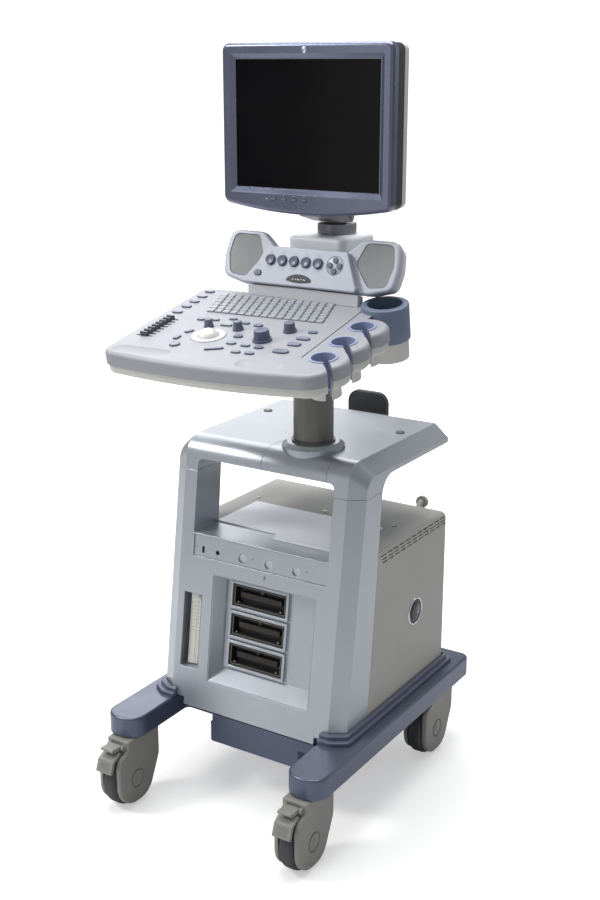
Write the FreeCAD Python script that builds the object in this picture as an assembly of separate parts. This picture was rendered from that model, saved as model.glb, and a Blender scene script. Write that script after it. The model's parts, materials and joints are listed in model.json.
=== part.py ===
"""Mobile ultrasound machine: a wheeled cart, a height-adjustable console and a monitor.

Millimetres. +Z is up, the front faces -Y and +X is to the right of someone facing the front.
While it is modelled, y is measured from the middle of the base; the finished pieces are then
moved so that the origin is on the floor, in the middle of the whole machine's footprint.
"""
import FreeCAD, Part
import math
import os
from FreeCAD import Vector

# ---------------------------------------------------------------- driving dimensions

wall = 4.0                      # thickness of the moulded covers
seam = 0.3                      # half of the visible gap between two covers
slip = 0.06                     # radial clearance of a shaft that turns or slides in its bore
clear = 0.8                     # clearance round a moving cap or key

# base
base_width = 484.0
base_length = 604.0
base_top = 182.0
base_thickness = 40.0
leg_width = 77.0
leg_nose_radius = 34.0
base_rear_radius = 18.0
crossbar_front = -138.0         # front edge of the base between its two legs
base_skin = 6.0                 # walls and ribs under the base
pod_left = -91.0
pod_front = -168.0
pod_rear = -60.0
pod_bottom = 103.0
castor_swing = 115.0            # a front castor and its pedal stay inside this radius as they turn

# castors
wheel_radius = 56.0
tyre_width = 31.0
castor_track = 397.0
castor_trail = 43.0
front_stem_y = -245.0
rear_stem_y = 235.0
stem_radius = 6.0
axle_radius = 5.0
cheek_gap = 1.5
cheek_thickness = 9.0
crown_bottom = 117.0
swivel_gap = 1.6                # between the castor's crown and the base
crown_ahead = 24.0              # the crown's front face, the brake pedal's hinge: how far before the axle
pedal_hinge_ahead = 30.0
pedal_hinge_z = 129.0
pedal_knuckle_half = 14.0
pedal_pin_radius = 2.5

# cart body
body_half_width = 207.0
facet_width = 29.0
facet_depth = 18.0
rim_drop = 25.0
front_bottom = 168.0
front_foot_y = -171.0
front_lean = 0.141              # the front leans back this much per millimetre of height
leg_rear_foot_y = -76.0
leg_rear_lean = 0.1
cover_seam_z = 628.0
platform_top = 690.0
platform_underside = 656.0
platform_rear = 234.0
platform_front_radius = 40.0
arch_inner_radius = 40.0
window_half_width = 150.0
window_bottom = 509.0
window_top = 652.0
window_radius = 12.0
casing_half_width = body_half_width - 1.0
casing_top = 510.0
casing_rear = 247.0
casing_edge_radius = 13.0
lid_sink = 0.9                  # the lid's edge lies this deep in the casing's top

# things on the front of the cart
strip_bottom = 465.0
strip_top = 507.0
strip_recess = 1.8
port_box = (-98.0, 132.0, 226.0, 438.0)      # left, right, bottom, top of the port recess
port_inner = (-80.0, 122.0, 250.0, 426.0)
port_depth = 28.0
port_width = 121.0
port_height = 44.0
port_pitch = 58.5
port_left = -66.0
top_port_centre = 398.0
pocket_box = (-163.0, -121.0, 243.0, 391.0)
pocket_depth = 34.0

# column
column_x = 61.0
column_y = -31.0
column_radius = 37.0
column_wall = 3.0
inner_tube_radius = 30.0
inner_tube_wall = 3.0
column_top = 868.0
boss_radius = 58.0
cap_half_width = 70.0
boss_top = 703.0
gas_rod_radius = 4.0
gas_rod_foot = 705.0

# console, modelled flat and then tilted and turned into place
console_height = 955.0          # height of the console's top face above the reference point
console_y = 68.0                # the reference point stands behind the console's rear edge
console_tilt = 10.0
console_turn = 4.0
console_left = -229.0
console_right = 160.0
console_rear = -22.0
console_front = -371.0          # at the corners; the middle bows further forward
console_bow = 13.0
console_corner = 30.0
console_rear_corner = 26.0
console_edge = 8.0
upper_depth = 25.0
lower_depth = 18.0
console_skin = 3.0
holder_x = 168.0
holder_v = (-290.0, -216.0, -142.0)
holder_lobe = 46.0
holder_radius = 23.0
holder_depth = 62.0
holder_liner = 2.5
slit_width = 11.0
slit_angle = -52.0
gel_x = 166.0
gel_v = -44.0
gel_radius = 35.0
gel_depth = 84.0

# controls
key_size = 13.4
key_pitch = 16.0
key_rows = 6
key_columns = 15
key_height = 3.2
button_height = 3.0
button_sink = 6.0               # how far keys and buttons reach below the top face
ball_radius = 21.0
ball_sink = 7.0
ball_x = -76.0
ball_v = -254.0
ball_ring_radius = 31.0
slider_count = 8
slider_pitch = 12.1

# control bar, modelled upright and then leaned back into place
bar_y = 17.0
bar_z = 973.0
bar_lean = 20.0
bar_height = 72.0
pod_setback = 14.0              # the speaker pods stand this far behind the panel's face
pod_half_width = 189.0
pod_height = 101.0
pod_depth = 14.0
bar_back_depth = 24.0
bar_button_s = 46.0
saddle_front = 24.0
nav_x = 66.0
nav_s = 45.0
nav_radius = 17.0

# neck and monitor
neck_y = 150.0
neck_radius = 37.0
neck_top = 1078.0
neck_housing_front = 70.0
neck_housing_rear = 192.0
neck_housing_half = 62.0
neck_housing_bottom = 985.0
neck_housing_top = 1058.0
monitor_centre = 1260.0
monitor_front = 32.0
monitor_half_width = 179.0
monitor_top = 1402.0
monitor_bottom = 1101.0
monitor_bow = 17.0              # the lower edge is this much lower in its middle
monitor_corner = 15.0
screen_width = 304.0
screen_height = 228.0
bezel_depth = 18.0
bezel_edge = 8.0                # rounding of the bezel's outer front edge
band_depth = 25.0
back_depth = 24.0
tilt_axis_z = 1092.0
tilt_pin_radius = 6.0
tilt_ear_radius = 12.0

base_bottom = base_top - base_thickness
parts = {}


# ---------------------------------------------------------------- helpers

def front_y(z):
    """Where the leaning front face of the cart is at height z."""
    return front_foot_y + front_lean * (z - front_bottom)


def leg_rear_y(z):
    """Where the seam between the front cover and the rear casing is at height z."""
    return leg_rear_foot_y + leg_rear_lean * (z - front_bottom)


def block(x0, x1, y0, y1, z0, z1):
    return Part.makeBox(x1 - x0, y1 - y0, z1 - z0, Vector(x0, y0, z0))


def rod(radius, start, end):
    start = Vector(*start)
    along = Vector(*end) - start
    return Part.makeCylinder(radius, along.Length, start, along)


def tube(outer, inner, start, end):
    return rod(outer, start, end).cut(rod(inner, start, end))


def cone(radius0, radius1, x, y, z0, z1):
    return Part.makeCone(radius0, radius1, z1 - z0, Vector(x, y, z0), Vector(0, 0, 1))


def on_plane(plane, a, b, offset):
    """A point from its two coordinates in a plane: "xy", "yz" or "xz"."""
    if plane == "xy":
        return Vector(a, b, offset)
    if plane == "yz":
        return Vector(offset, a, b)
    return Vector(a, offset, b)


def outline(points, radii, plane="xy", offset=0.0):
    """A closed wire through points, each corner rounded with its own radius."""
    if not isinstance(radii, (list, tuple)):
        radii = [radii] * len(points)
    corners = [on_plane(plane, a, b, offset) for a, b in points]
    edges = []
    ends = []
    count = len(corners)
    for i, corner in enumerate(corners):
        before = corners[i - 1] - corner
        after = corners[(i + 1) % count] - corner
        half = before.getAngle(after) / 2
        reach = radii[i] / math.tan(half)
        if radii[i] < 1e-6:
            ends.append((corner, corner, None))
            continue
        start = corner + before.normalize() * reach
        end = corner + after.normalize() * reach
        middle_way = (before + after).normalize()
        middle = corner + middle_way * (radii[i] / math.sin(half) - radii[i])
        ends.append((start, end, middle))
    for i, (start, end, middle) in enumerate(ends):
        if middle is not None:
            edges.append(Part.Arc(start, middle, end).toShape())
        following = ends[(i + 1) % count][0]
        if (following - end).Length > 1e-6:
            edges.append(Part.LineSegment(end, following).toShape())
    return Part.Wire(edges)


def prism(points, radii, plane, low, high):
    """The outline as a solid from low to high along the plane's normal."""
    way = on_plane(plane, 0, 0, high - low)
    return Part.Face(outline(points, radii, plane, low)).extrude(way)


def plate(x0, x1, y0, y1, z0, z1, radius):
    """A block with rounded vertical edges."""
    return prism([(x0, y0), (x1, y0), (x1, y1), (x0, y1)], radius, "xy", z0, z1)


def rectangle(x0, x1, z0, z1):
    return [(x0, z0), (x1, z0), (x1, z1), (x0, z1)]


def mirrored(points):
    """Points of the right half, from bottom to top, closed with their mirror image."""
    return points + [(-a, b) for a, b in reversed(points)]


def join(shapes):
    whole = shapes[0].multiFuse(shapes[1:]) if len(shapes) > 1 else shapes[0]
    return whole.removeSplitter()


def mirror_x(shape):
    return shape.mirror(Vector(0, 0, 0), Vector(1, 0, 0))


def both_sides(shape):
    return [shape, mirror_x(shape)]


def edges_where(shape, wanted):
    """Edges whose every sampled point passes the test."""
    chosen = []
    for edge in shape.Edges:
        span = edge.LastParameter - edge.FirstParameter
        samples = [edge.valueAt(edge.FirstParameter + span * s) for s in (0.02, 0.5, 0.98)]
        if all(wanted(p) for p in samples):
            chosen.append(edge)
    return chosen


def rounded(shape, radius, wanted):
    return shape.makeFillet(radius, edges_where(shape, wanted))


def at_height(z, tolerance=0.05):
    return lambda p: abs(p.z - z) < tolerance


def at_y(y, tolerance=0.05):
    return lambda p: abs(p.y - y) < tolerance


def leaning(x0, x1, z0, z1, near, far):
    """A slab parallel to the cart's leaning front, from near to far behind its face."""
    points = [(front_y(z0) + near, z0), (front_y(z1) + near, z1),
              (front_y(z1) + far, z1), (front_y(z0) + far, z0)]
    return prism(points, 0, "yz", x0, x1)


def leaning_wire(box, depth, grow=0.0):
    x0, x1, z0, z1 = box
    corners = [(x0 - grow, z0 - grow), (x1 + grow, z0 - grow), (x1 + grow, z1 + grow), (x0 - grow, z1 + grow)]
    points = [Vector(x, front_y(z) + depth, z) for x, z in corners]
    return Part.makePolygon(points + points[:1])


def leaning_funnel(front_box, back_box, depth, grow=0.0, lead=0.0):
    """A recess that narrows from the front face to its floor."""
    wires = [leaning_wire(front_box, -lead, grow), leaning_wire(back_box, depth, grow)]
    return Part.makeLoft(wires, True, True)


def leaning_rod(radius, x, z, near, far):
    start = Vector(x, front_y(z) + near, z)
    end = Vector(x, front_y(z) + far, z)
    return Part.makeCylinder(radius, (end - start).Length, start, end - start)


def console_place(shape):
    """Move a piece from the console's flat frame to where the console stands."""
    placed = shape.copy()
    placed.rotate(Vector(0, 0, 0), Vector(1, 0, 0), console_tilt)
    placed.rotate(Vector(0, 0, 0), Vector(0, 0, 1), console_turn)
    placed.translate(Vector(0, console_y, console_height))
    return placed


def pill(x, v, length, width, low, high, angle=0.0):
    """A rounded button in the console's flat frame."""
    radius = min(length, width) / 2 - 0.01
    box = rectangle(-length / 2, length / 2, -width / 2, width / 2)
    shape = prism(box, radius, "xy", low, high)
    shape.rotate(Vector(0, 0, 0), Vector(0, 0, 1), angle)
    shape.translate(Vector(x, v, 0))
    return shape


# ---------------------------------------------------------------- base

def base_outline(inset=0.0):
    """The base seen from above: two legs to the front joined by the rear body."""
    half = base_width / 2 - inset
    front = -base_length / 2 + inset
    rear = base_length / 2 - inset
    inner = base_width / 2 - leg_width + inset
    notch = crossbar_front + inset
    points = [(inner, front), (half, front), (half, rear)]
    points = [(inner, notch)] + points
    nose = leg_nose_radius - inset
    radii = [10.0, nose, nose, base_rear_radius - inset / 2]
    return mirrored(points), radii + list(reversed(radii))


def castor_places():
    for name, x_side, stem_y in (("front_left", -1, front_stem_y), ("front_right", 1, front_stem_y),
                                 ("rear_left", -1, rear_stem_y), ("rear_right", 1, rear_stem_y)):
        yield name, x_side * castor_track / 2, stem_y


def base_frame():
    points, radii = base_outline()
    body = prism(points, radii, "xy", base_bottom, base_top)
    body = rounded(body, 5.0, at_height(base_top))
    hollow_points, hollow_radii = base_outline(base_skin)
    hollow = prism(hollow_points, hollow_radii, "xy", base_bottom - 1, base_top - base_skin)
    sockets = [rod(22.0, (x, y, base_bottom), (x, y, base_top - 1)) for _, x, y in castor_places()]
    ribs = [block(-240, 240, y - 2, y + 2, base_bottom + 4, base_top - 1) for y in (-80.0, 60.0, 180.0)]
    ribs += [block(x - 2, x + 2, -300, 300, base_bottom + 4, base_top - 1)
             for x in (-castor_track / 2, castor_track / 2)]
    hollow = hollow.cut(join(sockets + ribs))
    body = body.cut(hollow)
    bores = [rod(stem_radius, (x, y, base_bottom - 1), (x, y, base_bottom + 26))
             for _, x, y in castor_places()]
    return body.cut(Part.makeCompound(bores))


def body_footprint(grow):
    half = body_half_width + grow
    front = front_y(base_top) - grow
    points = [(half - facet_width, front), (half, front + facet_depth), (half, casing_rear + grow)]
    return mirrored(points)


def base_collar():
    """Two low steps round the foot of the cart body, one on top of the other."""
    step_height = 8.0
    tiers = []
    for tier, grow in ((0, 15.0), (1, 8.0)):
        low = base_top + tier * step_height
        step = prism(body_footprint(grow), [14, 14, 16, 16, 14, 14], "xy", low, low + step_height)
        tiers.append(rounded(step, 2.5, at_height(low + step_height)))
    ring = tiers[0].fuse(tiers[1])
    ring = ring.cut(prism(body_footprint(0.4), 0, "xy", base_top - 1, base_top + 40))
    inner_leg = base_width / 2 - leg_width
    return ring.cut(block(-inner_leg, inner_leg, -250, crossbar_front, base_top - 1, base_top + 40))


def front_pod():
    """The low compartment under the front of the base, cut back where the castor swings past it."""
    left = pod_left
    right = base_width / 2 - leg_width - 1.5
    body = plate(left, right, pod_front, pod_rear, pod_bottom, base_bottom, 9)
    body = rounded(body, 4.0, at_height(pod_bottom))
    front_wall = block(left + 9, right - 9, pod_front, crossbar_front - 0.5,
                       base_bottom - 1, base_bottom + 22)
    hollow = plate(left + wall, right - wall, pod_front + wall, pod_rear - wall,
                   pod_bottom + wall, base_bottom + 28, 5)
    axis = (castor_track / 2, front_stem_y)
    swing = rod(castor_swing, (*axis, 0), (*axis, base_bottom))
    hollow = hollow.cut(rod(castor_swing + wall, (*axis, 0), (*axis, base_bottom)))
    return join([body.cut(swing), front_wall.cut(swing)]).cut(hollow)


# ---------------------------------------------------------------- castors

def castor_stems():
    """Steel pins pressed into the base; each has a flange that the castor turns under."""
    pins = []
    for _, x, y in castor_places():
        pin = rod(stem_radius, (x, y, crown_bottom + 3), (x, y, base_bottom + 26))
        flange = rod(17.0, (x, y, base_bottom - swivel_gap + 0.4), (x, y, base_bottom))
        pins.append(pin.fuse(flange).removeSplitter())
    return Part.makeCompound(pins)


def castor_housing(x, stem_y):
    axle_y = stem_y - castor_trail
    back = stem_y + 25
    front = axle_y - 51
    top = base_bottom - swivel_gap
    profile = [(back, top), (back, 78), (axle_y + 34, wheel_radius - 50), (front, wheel_radius - 50),
               (front, 110), (axle_y - crown_ahead, 121), (axle_y - crown_ahead, top)]
    radii = [5, 34, 40, 48, 22, 8, 3]
    half = tyre_width / 2 + cheek_gap + cheek_thickness
    body = prism(profile, radii, "yz", x - half, x + half)
    body = rounded(body, 4.0, lambda p: abs(abs(p.x - x) - half) < 0.05)
    gap = tyre_width / 2 + cheek_gap
    wheel_space = block(x - gap, x + gap, axle_y - 80, back - 9, -5, crown_bottom)
    body = body.cut(wheel_space)
    body = body.cut(rod(stem_radius + slip, (x, stem_y, crown_bottom - 1), (x, stem_y, top + 1)))
    if stem_y == front_stem_y:
        body = join([body] + pedal_ears(x, axle_y))
    rim = half - 1.6
    for side in (-1, 1):
        ring = tube(19.0, 16.5, (x + side * rim, axle_y, wheel_radius),
                    (x + side * (rim + 4), axle_y, wheel_radius))
        body = body.cut(ring)
    axle = rod(axle_radius, (x - half + 3, axle_y, wheel_radius), (x + half - 3, axle_y, wheel_radius))
    return body.fuse(axle)


def castor_wheel(x, stem_y):
    """A solid wheel with a rounded tread and a bored hub."""
    axle_y = stem_y - castor_trail
    half = tyre_width / 2
    shoulder = 9.0
    section = [(axle_radius + slip, -half + 1), (18, -half + 1), (24, -half + 4), (38, -half + 4),
               (42, -half),
               (wheel_radius, -half), (wheel_radius, half), (42, half), (38, half - 4), (24, half - 4),
               (18, half - 1), (axle_radius + slip, half - 1)]
    radii = [0, 0, 2, 2, 2, shoulder, shoulder, 2, 2, 2, 0, 0]
    face = Part.Face(outline([(b, a) for a, b in section], radii, "xy"))
    wheel = face.revolve(Vector(0, 0, 0), Vector(1, 0, 0), 360)
    wheel.translate(Vector(x, axle_y, wheel_radius))
    return wheel


def pedal_ears(x, axle_y):
    """Two ears in front of the castor's crown, with the pin that the brake pedal turns on."""
    hinge_y = axle_y - pedal_hinge_ahead
    crown_y = axle_y - crown_ahead
    ears = []
    for side in (-1, 1):
        low, high = sorted((x + side * (pedal_knuckle_half + 0.5), x + side * (pedal_knuckle_half + 4.5)))
        eye = rod(5.0, (low, hinge_y, pedal_hinge_z), (high, hinge_y, pedal_hinge_z))
        ears.append(eye.fuse(block(low, high, hinge_y, crown_y + 1, pedal_hinge_z - 5, pedal_hinge_z + 5)))
    reach = pedal_knuckle_half + 4
    pin = rod(pedal_pin_radius, (x - reach, hinge_y, pedal_hinge_z), (x + reach, hinge_y, pedal_hinge_z))
    return ears + [pin]


def castor_pedal(x, stem_y):
    """A two-lobed brake pedal, hinged on the castor's crown in front of the tyre."""
    y = stem_y - castor_trail - pedal_hinge_ahead
    z = pedal_hinge_z
    half = pedal_knuckle_half
    crest = [(y + 1, z + 5), (y - 27, z + 7), (y - 27, z + 1), (y, z - 4)]
    lobe = prism(crest, [1, 2.5, 2.5, 1], "yz", x - half, x + half)
    flap = [(y - 8, z - 4), (y - 30, z - 14), (y - 39, z - 38),
            (y - 33, z - 40), (y - 25, z - 19), (y - 8, z - 10)]
    flap = prism(flap, [1, 4, 2, 2, 3, 1], "yz", x - 18, x + 18)
    neck = prism([(y, z - 5), (y - 12, z - 9), (y - 14, z + 3), (y, z + 5)], 0, "yz", x - 10, x + 10)
    knuckle = rod(5.0, (x - half, y, z), (x + half, y, z))
    bore = rod(pedal_pin_radius + slip, (x - 30, y, z), (x + 30, y, z))
    return join([lobe, flap, neck, knuckle]).cut(bore)


# ---------------------------------------------------------------- cart front and platform

def arch_profile(inset, facet, x):
    """The cart front in side view: up the leaning front, over, and back along the platform."""
    rise = rim_drop if facet else 0.0
    push = facet_depth if facet else 0.0
    low = front_bottom - 2 if inset else front_bottom
    top = platform_top - rise - inset
    under = platform_underside + (inset / 2 if facet else inset)
    rear = platform_rear - inset
    push += inset
    points = [(front_y(low) + push, low), (front_y(top) + push, top), (rear, top), (rear, under),
              (leg_rear_y(under) - inset, under), (leg_rear_y(low) - inset, low)]
    outer_radius = platform_front_radius - (push if facet else inset) / 2
    radii = [0, outer_radius, 0, 0, arch_inner_radius - inset, 0]
    return outline(points, radii, "yz", x)


def arch_solid(inset=0.0):
    flat_half = body_half_width - facet_width
    side_half = body_half_width - inset
    middle = Part.Face(arch_profile(inset, False, -flat_half)).extrude(Vector(2 * flat_half, 0, 0))
    profiles = [arch_profile(inset, False, flat_half), arch_profile(inset, True, side_half)]
    side = Part.makeLoft(profiles, True, True)
    return join([middle] + both_sides(side))


def window(grow=0.0):
    """The opening through the arch, between its legs."""
    half = window_half_width + grow
    low = window_bottom - grow
    high = window_top + grow
    radii = [0.01 + grow, 0.01 + grow, window_radius, window_radius]
    return prism(rectangle(-half, half, low, high), radii, "xz", -200, 60)


def arch_shell():
    cavity = arch_solid(wall).cut(window(wall))
    return arch_solid().cut(cavity).cut(window())


def below(z):
    return block(-400, 400, -400, 400, -10, z)


def cap_region(grow):
    """The part of the arch that carries the column, in front of and round the boss."""
    half = cap_half_width + grow
    low = window_top - 20
    high = platform_top + 40
    front = block(column_x - half, column_x + half, -200, column_y, low, high)
    ring = rod(boss_radius + grow, (column_x, column_y, platform_underside + wall + 1),
               (column_x, column_y, high))
    return join([front, ring])


def front_fascia(shell):
    cover = shell.common(below(cover_seam_z - seam))
    inner_leg = base_width / 2 - leg_width
    for side in (-1, 1):
        low, high = sorted((side * (inner_leg - 16), side * 300))
        cover = cover.cut(block(low, high, -300, 100, 0, base_top))
    cover = cover.cut(block(-300, 300, crossbar_front - 0.1, 100, 0, base_top))
    cover = cover.cut(leaning(port_box[0], port_box[1], port_box[2], port_box[3], -5, wall + 6))
    x0, x1, z0, z1 = pocket_box
    pocket = leaning(x0, x1, z0, z1, -5, pocket_depth)
    pocket_wall = leaning(x0 - 2.5, x1 + 2.5, z0 - 2.5, z1 + 2.5, wall - 1, pocket_depth + 2.5)
    cover = join([cover, pocket_wall]).cut(pocket)
    return cover.cut(leaning(-148, 148, strip_bottom, strip_top, -5, wall + 6))


def platform_shell(shell):
    cover = shell.cut(below(cover_seam_z + seam))
    cover = cover.cut(cap_region(seam))
    bumper_holes = [rod(4.0, (x, 137, platform_top - 3), (x, 137, platform_top + 1)) for x in (-152, 152)]
    return cover.cut(Part.makeCompound(bumper_holes))


def arch_cap(shell):
    """The centre cover of the arch with the boss that holds the column's foot."""
    half = cap_half_width
    front = block(column_x - half, column_x + half, -200, column_y, window_top - 20, platform_top + 1)
    skin = shell.cut(below(cover_seam_z + seam)).common(front)
    inside_platform = 6.0
    boss = cone(boss_radius - 8, boss_radius - seam, column_x, column_y,
                platform_underside + inside_platform, platform_top - 4)
    rim = rod(boss_radius - seam, (column_x, column_y, platform_top - 4),
              (column_x, column_y, platform_top + 6))
    collar = cone(boss_radius - seam, column_radius + 12, column_x, column_y, platform_top + 6, boss_top)
    bore = rod(column_radius, (column_x, column_y, platform_underside + inside_platform + wall),
               (column_x, column_y, boss_top + 1))
    return join([skin, boss, rim, collar]).cut(bore)


def rear_casing():
    low = base_top
    profile = [(leg_rear_y(low) + 2 * seam, low), (leg_rear_y(casing_top) + 2 * seam, casing_top),
               (casing_rear, casing_top), (casing_rear, low)]
    body = prism(profile, [0, 0, casing_edge_radius, 0], "yz", -casing_half_width, casing_half_width)
    body = rounded(body, casing_edge_radius - 1, lambda p: abs(abs(p.x) - casing_half_width) < 0.05
                   and p.z > base_top + 1 and p.y > -40)
    inner = casing_half_width - wall
    hollow = prism([(-200, low - 1), (-200, casing_top - wall), (casing_rear - wall, casing_top - wall),
                    (casing_rear - wall, low - 1)], [0, 0, 10, 0], "yz", -inner, inner)
    body = body.cut(hollow)
    body = body.cut(plate(-151, 151, -120, 90, casing_top - lid_sink - 0.05, casing_top + 1, 6))
    body = body.cut(plate(-142.5, 142.5, -37.5, 81.5, casing_top - wall - 1, casing_top, 4))
    body = body.cut(block(-170, 170, casing_rear - wall - 2, casing_rear + 1, 205, 480))
    slots = []
    slot_length = 19.0
    slot_pitch = 24.0
    for row in range(3):
        z = casing_top - 9 - row * 6.5
        for i in range(11):
            y = -28 + row * 3 + i * slot_pitch
            slots.append(block(-300, 300, y, y + slot_length, z - 1.4, z + 1.4))
    return join([body.cut(Part.makeCompound(slots)), cable_post()])


def casing_lid():
    """The lift-out cover in the casing's top, which steps forward on the right."""
    points = [(-148, -50), (-10, -50), (0, -75), (148, -75), (148, 87), (-148, 87)]
    lid = prism(points, [3, 0, 0, 3, 5, 5], "xy", casing_top - lid_sink, casing_top + 2)
    lip = plate(-141.5, 141.5, -36.5, 80.5, casing_top - wall, casing_top - lid_sink, 4)
    return join([rounded(lid, 1.0, at_height(casing_top + 2)), lip])


def rear_panel():
    """The connector panel across the back: fan grille, mains inlet, network and video sockets."""
    panel = block(-169.5, 169.5, casing_rear - wall - 2, casing_rear - 1, 205.5, 479.5)
    grille = [block(-120, 60, casing_rear - 12, casing_rear + 5, z, z + 5) for z in range(330, 440, 12)]
    inlet = block(80, 115, casing_rear - 12, casing_rear + 5, 225, 253)
    network = block(-120, -104, casing_rear - 12, casing_rear + 5, 232, 246)
    video = [block(x, x + 34, casing_rear - 12, casing_rear + 5, 268, 280) for x in (-120, -70, -20)]
    return panel.cut(Part.makeCompound(grille + video + [inlet, network]))


def cable_post():
    """The button on the casing's rear top edge that a hanging cable is looped round."""
    stalk = rod(6.0, (139, casing_rear - 8, casing_top - 14), (139, casing_rear + 14, casing_top + 4))
    head = rod(12.5, (139, casing_rear + 14, casing_top + 1), (139, casing_rear + 24, casing_top + 1))
    return join([stalk, rounded(head, 3.5, at_y(casing_rear + 24))])


def control_strip():
    face = leaning(-147.4, 147.4, strip_bottom + 0.6, strip_top - 0.6, strip_recess, wall + 1)
    flange = leaning(-152, 152, strip_bottom - 5, strip_top - 3, wall + 0.05, wall + 2)
    strip = join([face, flange])
    z = 479.0
    holes = [leaning_rod(9.0, x, z, -10, 20) for x in (-36, 23, 84)]
    rims = [leaning_rod(9.0, x, z, strip_recess + 2.2, strip_recess + 8) for x in (-36, 23, 84)]
    usb = leaning(-129, -123.5, z - 6.5, z + 6.5, -5, 20)
    jack = leaning_rod(4.5, -93, z, -10, 20)
    dish = [leaning_rod(7.4, x, z, strip_recess + 4.2, strip_recess + 9) for x in (-36, 23, 84)]
    strip = strip.cut(Part.makeCompound(holes + [usb, jack]))
    return join([strip] + rims).cut(Part.makeCompound(dish))


def front_sockets():
    z = 479.0
    usb = leaning(-129, -123.5, z - 6.5, z + 6.5, strip_recess + 1, strip_recess + 18)
    usb = usb.cut(leaning(-127.6, -124.9, z - 5.4, z + 5.4, -5, strip_recess + 10))
    jack = leaning_rod(4.5, -93, z, strip_recess + 1, strip_recess + 14)
    jack = jack.cut(leaning_rod(2.2, -93, z, -5, strip_recess + 10))
    return Part.makeCompound([usb, jack])


def port_centres():
    return [top_port_centre - i * port_pitch for i in range(3)]


def port_bezel():
    """The funnel-shaped tray behind the front cover that frames the three ports."""
    skin = 2.5
    outer = leaning_funnel(port_box, port_inner, port_depth + skin, skin)
    outer = outer.common(leaning(-150, 150, port_box[2] - 5, port_box[3] + 5, wall, port_depth + skin))
    left, right, low, high = port_box
    sleeve = leaning(left + 0.4, right - 0.4, low + 0.4, high - 0.4, 0.6, wall + 1)
    inner = leaning_funnel((left + 1.6, right - 1.6, low + 1.6, high - 1.6), port_inner, port_depth, 0)
    tray = join([outer, sleeve]).cut(inner)
    frames = []
    holes = []
    left = port_left
    right = port_left + port_width
    for z in port_centres():
        low = z - port_height / 2
        high = z + port_height / 2
        frames.append(leaning(left - 5, right + 5, low - 5, high + 5, port_depth - 6, port_depth + 0.5))
        holes.append(leaning(left, right, low, high, 0, port_depth + 10))
    return join([tray] + frames).cut(Part.makeCompound(holes))


def probe_ports():
    """Three transducer connectors, each a dark block with a sunk face and a row of guides."""
    ports = []
    for z in port_centres():
        low = z - port_height / 2 + 0.5
        high = z + port_height / 2 - 0.5
        left = port_left + 0.5
        right = port_left + port_width - 0.5
        body = leaning(left, right, low, high, port_depth - 3, port_depth + 40)
        floor = port_depth + 12
        sunk = leaning(left + 5, right - 5, low + 5, high - 5, port_depth - 10, floor)
        tongue = leaning(left + 14, right - 14, z - 5, z + 5, port_depth + 2, floor + 1)
        latch = leaning_rod(4.0, (left + right) / 2, z + 11, port_depth + 4, floor + 1)
        ports.append(join([body.cut(sunk), tongue, latch]))
    return Part.makeCompound(ports)


def pocket_card():
    """The folded quick guide that stands in the pocket."""
    x0, x1, z0, z1 = pocket_box
    back = pocket_depth - 0.1
    card = leaning(x0 + 13, x1 - 7, z0 + 0.2, z1 - 9, back - 6, back)
    folds = [leaning(x0 + 13 + step, x0 + 14.2 + step, z0 + 4, z1 - 12, back - 6.6, back - 5)
             for step in (4, 9, 14)]
    return join([card] + folds)


def cable_hook():
    """A dark rubber-covered hook behind the platform, for hanging cables."""
    start = platform_rear + 0.05
    profile = [(start, 662), (start + 54, 662), (start + 54, 722),
               (start + 43, 722), (start + 43, 674), (start, 674)]
    hook = prism(profile, [0, 14, 5, 5, 6, 0], "yz", -45, 45)
    front_view = prism(rectangle(-45, 45, 640, 722), [4, 4, 26, 26], "xz", start - 5, start + 80)
    return hook.common(front_view)


def cover_screws():
    """Pan-head screws on the platform, the lid and the casing."""
    screws = []
    places = [(-152, 137, platform_top - 3), (152, 137, platform_top - 3), (-158, 108, casing_top),
              (158, 108, casing_top), (2, 108, casing_top)]
    for x, y, z in places:
        head = rod(3.8, (x, y, z), (x, y, z + 5 if z > 600 else z + 2.2))
        slot = block(x - 2.6, x + 2.6, y - 0.6, y + 0.6, head.BoundBox.ZMax - 1.2, head.BoundBox.ZMax + 1)
        screws.append(head.cut(slot))
    return Part.makeCompound(screws)


# ---------------------------------------------------------------- inside the cart

def power_supply():
    body = plate(-150, 60, 60, 200, base_top, base_top + 95, 4)
    rails = [block(-160, 70, y, y + 12, base_top, base_top + 4) for y in (80, 168)]
    return join([body] + rails)


def electronics_rack():
    """The card cage: a tray with five boards standing in it, resting on the base."""
    tray = plate(-150, 150, -38, 50, base_top, base_top + 6, 4)
    boards = [block(x - 2, x + 2, -36, 48, base_top + 5, 470) for x in (-120, -70, -20, 30, 80)]
    back = block(-150, 150, 46, 50, base_top + 5, 440)
    return join([tray, back] + boards)


def cooling_fan():
    frame = plate(70, 190, 80, 190, 300, 326, 8).cut(rod(48, (130, 135, 299), (130, 135, 327)))
    hub = rod(16, (130, 135, 302), (130, 135, 324))
    spokes = [block(130 - 50, 130 + 50, 133, 137, 302, 305), block(128, 132, 85, 185, 302, 305)]
    legs = [block(x, x + 6, y, y + 6, base_top, 301) for x in (72, 182) for y in (82, 182)]
    return join([frame, hub] + spokes + legs)


# ---------------------------------------------------------------- column

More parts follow.
